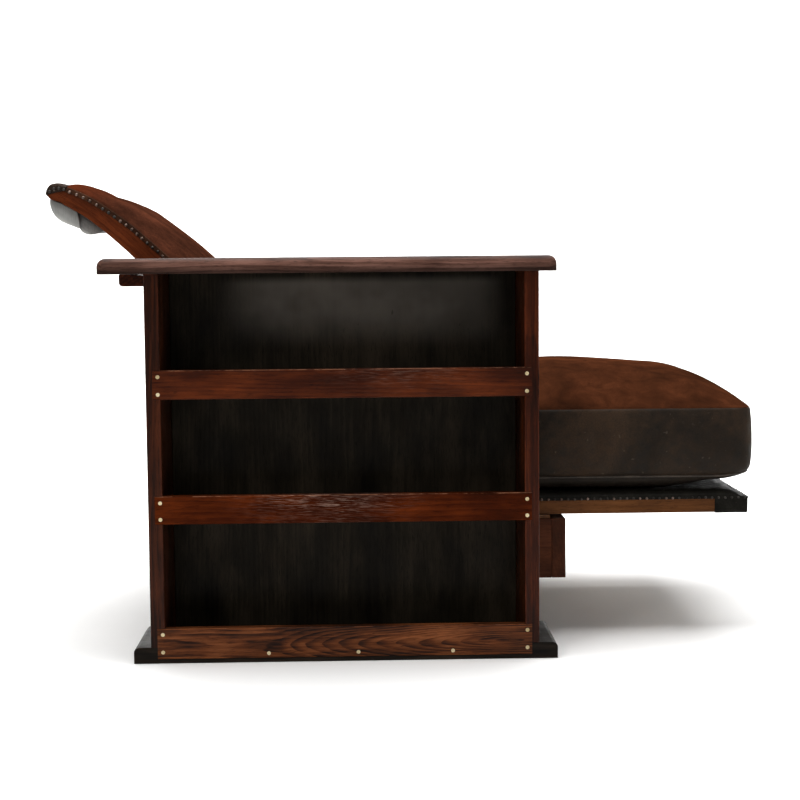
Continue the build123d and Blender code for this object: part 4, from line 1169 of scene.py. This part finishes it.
# ---------------------------------------------------------------- leather platform of the seat
def platform():
    x0, x1 = 400.0, 926.3
    xs = np.array([x0, x0 + 3, x0 + 8, x0 + 16] + list(np.linspace(x0 + 26, x1 - 46, 46))
                  + [x1 - 38, x1 - 31, x1 - 25, x1 - 20, x1 - 16, x1 - 13, x1 - 10, x1 - 6, x1 - 2.5, x1 - 0.6, x1])
    half = 256.4
    e = [0.0, 0.9, 3.0, 6.5, 11.0, 17.0, 25.0, 34.0]
    rest = 2 * (half - e[-1])
    n = 44
    left = [-half + v for v in e]
    ys = np.array(left + [-half + e[-1] + rest * i / n for i in range(1, n)] + [-v for v in left[::-1]])
    Xg, Yg = np.meshgrid(xs, ys, indexing="ij")
    dy = half - np.abs(Yg)
    dfr = x1 - Xg
    dre = Xg - x0
    swell_y = np.sqrt(np.clip(1 - (1 - np.clip(dy / 26.0, 0, 1))**2, 0, 1))
    swell_f = np.sqrt(np.clip(1 - (1 - np.clip((dfr - 12.0) / 22.0, 0, 1))**2, 0, 1))
    swell_r = np.sqrt(np.clip(1 - (1 - np.clip(dre / 20.0, 0, 1))**2, 0, 1))
    Zg = 218.3 + 9.1 * swell_y * swell_f * swell_r
    Zg = Zg - 1.3 * (1 - np.clip(dy / 2.0, 0, 1))**2 - 1.2 * (1 - np.clip(dfr / 2.0, 0, 1))**2
    P = W(Xg, Yg, Zg)
    lump = noise3(P, 14.0, 5.0) * 0.5 + noise3(P, 45.0, 6.0) * 0.18
    inside = swell_y * swell_f * swell_r
    P[..., 2] = np.minimum(P[..., 2] + lump * inside / 1000, 0.2279)
    fl = np.array([214.5, 215.4, 216.4, 217.2])
    L = np.stack([np.stack([W(x, -257.35, z) for z in fl]) for x in xs])
    R = L[:, ::-1].copy()
    R[..., 1] *= -1
    P = np.concatenate([L, P, R], 1)
    run = np.cumsum(np.linalg.norm(np.diff(P, axis=1, prepend=P[:, :1]), axis=2), axis=1)
    uv = np.stack([run, np.broadcast_to((xs / 1000)[:, None], run.shape)], -1)
    ob = grid_object("platform_leather_soft", P, uv, M_black, flip=False)
    subdivide(ob, 1)
    m = ob.modifiers.new("thickness", "SOLIDIFY")
    m.thickness = 0.0011
    m.offset = -1.0
    place(ob, "seat", "leather_black", "platform_leather")
    # the front rail's cover: a folded parcel of leather
    xa, xb, ya, yb, za, zb = 873.5, 926.5, -257.5, 257.5, 191.6, 217.6
    rr = 2.6

    def ring(y, grow):
        pts = []
        cx, cz, hx, hz = (xa + xb) / 2, (za + zb) / 2, (xb - xa) / 2 + grow, (zb - za) / 2 + grow
        for sx, sz, a0 in ((1, 1, 0), (-1, 1, 90), (-1, -1, 180), (1, -1, 270)):
            for a in (0, 22.5, 45, 67.5, 90):
                an = math.radians(a0 + a)
                pts.append((cx + sx * (hx - rr) + rr * math.cos(an), y, cz + sz * (hz - rr) + rr * math.sin(an)))
            nx = {0: (-1, 0), 90: (0, -1), 180: (1, 0), 270: (0, 1)}[a0]
            length = 2 * (hx - rr) if nx[0] else 2 * (hz - rr)
            lastp = pts[-1]
            cnt = 9 if nx[0] else 4
            for i in range(1, cnt):
                pts.append((lastp[0] + nx[0] * length * i / cnt, y, lastp[2] + nx[1] * length * i / cnt))
        return np.array(pts)

    yy = [ya] + [ya + 0.5, ya + 1.6, ya + 4, ya + 9] + list(np.linspace(ya + 18, yb - 18, 52)) + [yb - 9, yb - 4, yb - 1.6, yb - 0.5, yb]
    secs = []
    for y in yy:
        e = min(y - ya, yb - y)
        g = -1.6 * (1 - min(e / 1.6, 1))**1.5
        p = ring(y, g)
        secs.append(W(p[:, 0], p[:, 1], p[:, 2]))
    secs = np.array(secs)
    w = noise3(secs, 40.0, 12.0) * 0.35 + noise3(secs, 110.0, 13.0) * 0.2
    c = W(900.0, 0, 204.5)
    dirn = secs - np.stack([np.full(secs.shape[:2], c[0]), secs[..., 1], np.full(secs.shape[:2], c[2])], -1)
    dirn /= np.linalg.norm(dirn, axis=2, keepdims=True)
    secs = secs + dirn * (w / 1000)[..., None]
    ob2 = loft("front_rail_leather", secs, M_black, flip=True)
    subdivide(ob2, 1)
    place(ob2, "seat", "leather_black", "front_rail_wrap")
    return ob, ob2


platform()


# ---------------------------------------------------------------- nails
def nails(name, places, body, node, seed, radius=0.00262, dull=()):
    """Round-headed nails, hand driven: slightly turned, tilted and dished."""
    rs = np.random.RandomState(seed)
    V, F, base = [], [], 0
    sides, rings = 14, [(1.0, 0.0), (1.0, 0.12), (0.93, 0.42), (0.74, 0.74), (0.42, 0.95)]
    for (p, axis) in places:
        axis = np.array(axis, float)
        t = np.cross(axis, [0.31, 0.2, 0.93])
        t /= np.linalg.norm(t)
        b = np.cross(axis, t)
        tilt = (rs.rand(2) - 0.5) * 0.16
        r0 = radius * (0.96 + 0.08 * rs.rand())
        h0 = 0.0016 * (0.88 + 0.2 * rs.rand())
        shift = (rs.rand(2) - 0.5) * 0.0007
        p = np.array(p) + t * shift[0] + b * shift[1]
        dent = rs.rand(2) * 2 * math.pi
        for rr, hh in rings:
            for k in range(sides):
                a = 2 * math.pi * k / sides
                rad = r0 * rr * (1 + 0.03 * math.cos(2 * a + dent[0]) + 0.02 * math.cos(3 * a + dent[1]))
                x, y = rad * math.cos(a), rad * math.sin(a)
                z = h0 * hh * (1 + 0.08 * math.cos(a + dent[0]) * rr) + (x * tilt[0] + y * tilt[1])
                V.append(p + t * x + b * y + axis * z)
        V.append(p + axis * h0 * 1.0)
        for i in range(len(rings) - 1):
            for k in range(sides):
                a0, a1 = base + i * sides + k, base + i * sides + (k + 1) % sides
                F.append((a0, a1, a1 + sides, a0 + sides))
        lastr = base + (len(rings) - 1) * sides
        cap = base + len(rings) * sides
        for k in range(sides):
            F.append((lastr + k, lastr + (k + 1) % sides, cap))
        F.append(tuple(base + k for k in range(sides))[::-1])
        base = cap + 1
    per = len(F) // max(len(places), 1)
    idx = np.zeros(len(F), int)
    for k in dull:
        idx[k * per:(k + 1) * per] = 1
    ob = new_object(name, V, F, [nickel, dark_nail], idx)
    place(ob, body, "nail_steel", node)
    return ob


spots = []
x1 = 925.0
for side in (-1, 1):
    for i in range(int((x1 - 400.0 - 8) / 10.4) + 1):
        spots.append((W(x1 - 3.5 - i * 10.4, side * 257.5, 216.4), (0, side, 0)))
cnt = int(2 * 252 / 10.4) + 1
for i in range(cnt):
    spots.append((W(x1 + 1.5, -252 + i * 504 / (cnt - 1), 216.4), (1, 0, 0)))
DR = np.random.RandomState(23)
dull = [k for k in range(len(spots)) if DR.rand() < 0.7 or spots[k][0][0] > 0.478]
nails("seat_nail_heads", spots, "seat", "seat_nails", 3, radius=0.0021, dull=dull)
spots, dull = [], []
for side in (-1, 1):
    for s in NAIL_S:
        if DR.rand() < 0.28:
            dull.append(len(spots))
        spots.append((bp(s, depth(s) - 4.4, side * 257.2), (0, side, 0)))
    for s, v in ((20.0, 21.6), (13.0, 20.4), (6.0, 16.6), (1.6, 10.5)):
        dull.append(len(spots))
        spots.append((bp(s, v, side * 257.2), (0, side, 0)))
nails("back_nail_heads", spots, "back", "back_nails", 5, radius=0.00245, dull=dull)


# ---------------------------------------------------------------- canvas below the head
def canvas():
    """Two soft rolls of canvas under the head, the upper one lapped over the lower."""
    left = np.array([(5.2, -0.35), (5.8, -3.5), (7.0, -7.0), (9.2, -10.8), (14.0, -16.5), (20.0, -21.0), (28.0, -24.4),
                     (36.0, -25.6), (46.0, -24.9), (56.0, -23.2), (64.0, -21.6), (68.4, -20.6), (69.3, -20.0),
                     (68.4, -18.6), (64.0, -14.5), (58.5, -8.0), (53.5, -3.0), (51.0, -0.5)])
    right = np.array([(50.5, -0.5), (55.0, -6.0), (60.0, -13.0), (65.5, -19.0), (70.5, -21.6), (75.0, -22.6),
                      (81.0, -21.8), (87.0, -19.2), (92.5, -14.2), (96.5, -7.7), (98.8, -0.9)])
    parts = []
    for prof, y_end, slant, seed in ((left, 251.5, 0.0, 31.0), (right, 248.5, 11.0, 37.0)):
        fine = np.linspace(0, len(prof) - 1, 54)
        q = np.stack([np.interp(fine, np.arange(len(prof)), prof[:, c]) for c in (0, 1)], -1)
        for _ in range(2):
            q[1:-1] = (q[:-2] + 2 * q[1:-1] + q[2:]) / 4
        back = np.linspace(q[-1, 0] - 0.8, q[0, 0] + 0.8, 14)
        loop = np.vstack([q, np.stack([back, np.full(14, -0.35)], -1)])
        ys = np.array([-y_end, -y_end + 0.3, -y_end + 1.2, -y_end + 3.5, -y_end + 8, -y_end + 16]
                      + list(np.linspace(-y_end + 28, y_end - 28, 40))
                      + [y_end - 16, y_end - 8, y_end - 3.5, y_end - 1.2, y_end - 0.3, y_end])
        secs = []
        for y in ys:
            e = y_end - abs(y)
            round_off = 1.0 - 0.022 * (1 - math.sqrt(max(0.0, 1 - (1 - min(e / 4.0, 1))**2)))
            sag = 1 + (0.03 * math.sin(y * 0.021 + seed) + 0.025 * math.sin(y * 0.053 + seed)) * min(e / 40.0, 1)
            tuck = 1.0 - 0.42 * (1 - math.exp(-max(e, 0.0) / 48.0))
            v = -0.35 + (loop[:, 1] + 0.35) * round_off * sag * tuck
            up = 1 - np.clip(-loop[:, 1] / 20.0, 0, 1)
            yy = y - np.sign(y) * slant * up * (1 - min(e / 30.0, 1))
            secs.append(bp(loop[:, 0], v, yy))
        secs = np.array(secs)
        fold = noise3(secs, 22.0, seed) * 0.7 + noise3(secs, 55.0, seed) * 0.3
        secs[..., 2] += np.minimum(fold, 0.2) * np.clip(-np.tile(loop[:, 1], (len(ys), 1)) / 12.0, 0, 1) / 1000
        parts.append(loft("roll", secs, M_roll, flip=False))
    ob = join("head_lining_soft", parts)
    subdivide(ob, 1)
    return ob


lining = canvas()
place(lining, "back", "canvas_grey", "head_lining")


def rear_lining():
    ss = np.linspace(139.5, BACK_L - 64.5, 66)
    ys = np.linspace(-231.5, 231.5, 60)
    S, Yg = np.meshgrid(ss, ys, indexing="ij")
    edge = np.minimum(np.minimum(S - ss[0], ss[-1] - S), 231.5 - np.abs(Yg))
    P0 = bp(S, np.full(S.shape, 1.8), Yg)
    v = 1.8 - (noise3(P0, 7.0, 21.0) * 0.9 + 0.5) * smooth(0, 60, edge) + 0.12 * np.sin(Yg * 0.3) * (1 - smooth(0, 22, edge))
    P = bp(S, v, Yg)
    uv = np.stack([Yg / 1000, S / 1000], -1)
    ob = grid_object("back_lining_sheet", P, uv, M_canvas, flip=False)
    m = ob.modifiers.new("thickness", "SOLIDIFY")
    m.thickness = 0.0008
    m.offset = 0.0
    place(ob, "back", "canvas_grey", "back_lining")
    return ob


rear_lining()


# ---------------------------------------------------------------- webbing
def strap(points, width_dir, width, over):
    """A woven strap along points; over lifts it at its crossings."""
    P = np.asarray(points, float)
    n = len(P)
    cols = 7
    w = np.linspace(-0.5, 0.5, cols)
    V = P[:, None] + w[None, :, None] * width * np.asarray(width_dir)[None, None]
    V = V + np.asarray(over)[:, None] * (1 - 0.15 * (w[None, :, None] * 2)**2)
    run = np.concatenate([[0], np.cumsum(np.linalg.norm(np.diff(P, axis=0), axis=1))])
    uv = np.stack(np.broadcast_arrays(run[:, None], (w + 0.5)[None] * width), -1)
    ob = grid_object("strap", V, uv, M_jute)
    m = ob.modifiers.new("thickness", "SOLIDIFY")
    m.thickness = 0.0015
    m.offset = 0.0
    dg = bpy.context.evaluated_depsgraph_get()
    me = bpy.data.meshes.new_from_object(ob.evaluated_get(dg), preserve_all_data_layers=True, depsgraph=dg)
    ob.modifiers.clear()
    ob.data = me
    return ob


def merge(name, obs):
    """Join keeping the maps."""
    verts, faces, uvs, base = [], [], [], 0
    for o in obs:
        co = coords(o)
        verts.append(co)
        layer = o.data.uv_layers[0].data if o.data.uv_layers else None
        for p in o.data.polygons:
            faces.append(tuple(v + base for v in p.vertices))
            uvs.append([tuple(layer[i].uv) for i in p.loop_indices] if layer else [(0, 0)] * len(p.vertices))
        base += len(co)
    mat = obs[0].data.materials[0]
    ob = new_object(name, np.vstack(verts), faces, [mat], None, uvs)
    for o in obs:
        me = o.data
        bpy.data.objects.remove(o)
        bpy.data.meshes.remove(me)
    return ob


def seat_webbing():
    xa, xb, oy = 419.2, 874.8, 195.8
    cy = [-oy + 2 * oy * (i + 0.5) / 5 for i in range(5)]
    cx = [xa + (xb - xa) * (i + 0.5) / 6 for i in range(6)]
    out = []
    for i, c in enumerate(cy):
        x = np.linspace(xa, xb, 73)
        h = np.zeros_like(x)
        for j, k in enumerate(cx):
            h += (1 if (i + j) % 2 else -1) * np.exp(-((x - k) / 26.0)**2)
        P = W(x, c, 213.0 - 1.4 * np.sin(np.pi * (x - xa) / (xb - xa)))
        out.append(strap(P, (0, 1, 0), 0.050, np.stack([0 * h, 0 * h, h * 0.00095], -1)))
    for j, k in enumerate(cx):
        y = np.linspace(-oy, oy, 61)
        h = np.zeros_like(y)
        for i, c in enumerate(cy):
            h += (-1 if (i + j) % 2 else 1) * np.exp(-((y - c) / 26.0)**2)
        P = W(k, y, 213.0 - 1.4 * np.sin(np.pi * (k - xa) / (xb - xa)) * np.ones_like(y))
        out.append(strap(P, (1, 0, 0), 0.050, np.stack([0 * h, 0 * h, h * 0.00095], -1)))
    ob = merge("seat_webbing_straps", out)
    place(ob, "seat", "webbing_jute", "seat_webbing")


def back_webbing():
    iy = 231.8
    sa, sb = 141.0, BACK_L - 65.0
    cs = [sa + (sb - sa) * (i + 0.5) / 7 for i in range(7)]
    cy = [-iy + 2 * iy * (i + 0.5) / 5 for i in range(5)]
    out = []
    for j, c in enumerate(cs):
        y = np.linspace(-iy, iy, 61)
        h = np.zeros_like(y)
        for i, k in enumerate(cy):
            h += (-1 if (i + j) % 2 else 1) * np.exp(-((y - k) / 26.0)**2)
        x, z, tx, tz = edge_at(c)
        P = bp(np.full(len(y), c), depth(c) - 2.7 + 0 * y, y)
        nrm = np.array([-tz, 0, tx])
        out.append(strap(P, (tx, 0, tz), 0.050, h[:, None] * 0.0009 * nrm[None]))
    for i, k in enumerate(cy):
        s = np.linspace(sa - 1, sb + 1, 81)
        h = np.zeros_like(s)
        for j, c in enumerate(cs):
            h += (1 if (i + j) % 2 else -1) * np.exp(-((s - c) / 26.0)**2)
        x, z, tx, tz = edge_at(s)
        P = bp(s, depth(s) - 2.7, np.full(len(s), k))
        out.append(strap(P, (0, 1, 0), 0.050, h[:, None] * 0.0009 * np.stack([-tz, 0 * tz, tx], -1)))
    ob = merge("back_webbing_straps", out)
    place(ob, "back", "webbing_jute", "back_webbing")


seat_webbing()
back_webbing()


# ---------------------------------------------------------------- camera, floor and light
F_PX, YAW, PITCH, ROLL = 1621.07, -0.024776, 0.082486, -0.0087015
f = Vector((-math.sin(YAW) * math.cos(PITCH), math.cos(YAW) * math.cos(PITCH), -math.sin(PITCH)))
r = Vector((math.cos(YAW), math.sin(YAW), 0.0))
u = r.cross(f)
r2 = r * math.cos(ROLL) + u * math.sin(ROLL)
u2 = -r * math.sin(ROLL) + u * math.cos(ROLL)
cam = bpy.data.cameras.new("camera")
cam.sensor_fit = "HORIZONTAL"
cam.sensor_width = 36.0
cam.lens = F_PX / 800 * 36.0
cam.clip_start, cam.clip_end = 0.05, 60.0
co = bpy.data.objects.new("camera", cam)
bpy.context.scene.collection.objects.link(co)
co.matrix_world = Matrix(((r2.x, u2.x, -f.x, -0.07917), (r2.y, u2.y, -f.y, -2.78729),
                          (r2.z, u2.z, -f.z, 0.58575), (0, 0, 0, 1)))
bpy.context.scene.camera = co


def studio():
    g = Mat("studio_floor")
    n = g.noise(g.p, 3.0, 4.0, 0.55)
    g.put(g.b.inputs["Base Color"], g.ramp(n, [(0.3, (0.91, 0.91, 0.905, 1)), (0.7, (0.94, 0.94, 0.935, 1))]))
    g.b.inputs["Roughness"].default_value = 0.75
    g.b.inputs["Specular IOR Level"].default_value = 0.2
    prof = [(-24.0, 0.0), (-7.0, 0.0), (2.6, 0.0)]
    for i in range(1, 13):
        a = math.pi / 2 * i / 12
        prof.append((2.6 + 1.6 * math.sin(a), 1.6 - 1.6 * math.cos(a)))
    prof.append((4.2, 7.0))
    verts, faces = [], []
    for x in (-22.0, 22.0):
        verts += [(x, y, z - 0.0004) for y, z in prof]
    n = len(prof)
    for i in range(n - 1):
        faces.append((i, n + i, n + i + 1, i + 1))
    ob = new_object("floor", verts, faces, [g.m])


studio()


def area(name, loc, target, size, power, color=(1, 1, 1)):
    l = bpy.data.lights.new(name, "AREA")
    l.shape = "RECTANGLE"
    l.size, l.size_y = size
    l.energy = power
    l.color = color
    o = bpy.data.objects.new(name, l)
    bpy.context.scene.collection.objects.link(o)
    o.location = loc
    o.rotation_mode = "QUATERNION"
    o.rotation_quaternion = (Vector(target) - Vector(loc)).to_track_quat("-Z", "Y")
    return o


area("overhead", (0.0, 0.25, 3.0), (0, 0.1, 0.0), (3.4, 2.8), 178)
area("key", (-1.9, -3.0, 2.5), (0.0, 0.0, 0.35), (1.1, 1.1), 34, (1.0, 0.98, 0.95))
area("fill", (2.4, -2.4, 1.6), (0.1, 0.0, 0.3), (1.2, 1.2), 12, (0.97, 0.98, 1.0))
area("backdrop", (0.0, 2.1, 2.8), (0.0, 3.7, 0.7), (4.0, 1.2), 120)
world = bpy.data.worlds.new("studio")
world.use_nodes = True
world.node_tree.nodes["Background"].inputs[0].default_value = (1.0, 1.0, 1.0, 1.0)
world.node_tree.nodes["Background"].inputs[1].default_value = 0.3
bpy.context.scene.world = world
bpy.context.scene.view_settings.view_transform = "Standard"
bpy.context.scene.view_settings.look = "None"
bpy.context.scene.view_settings.gamma = 0.85
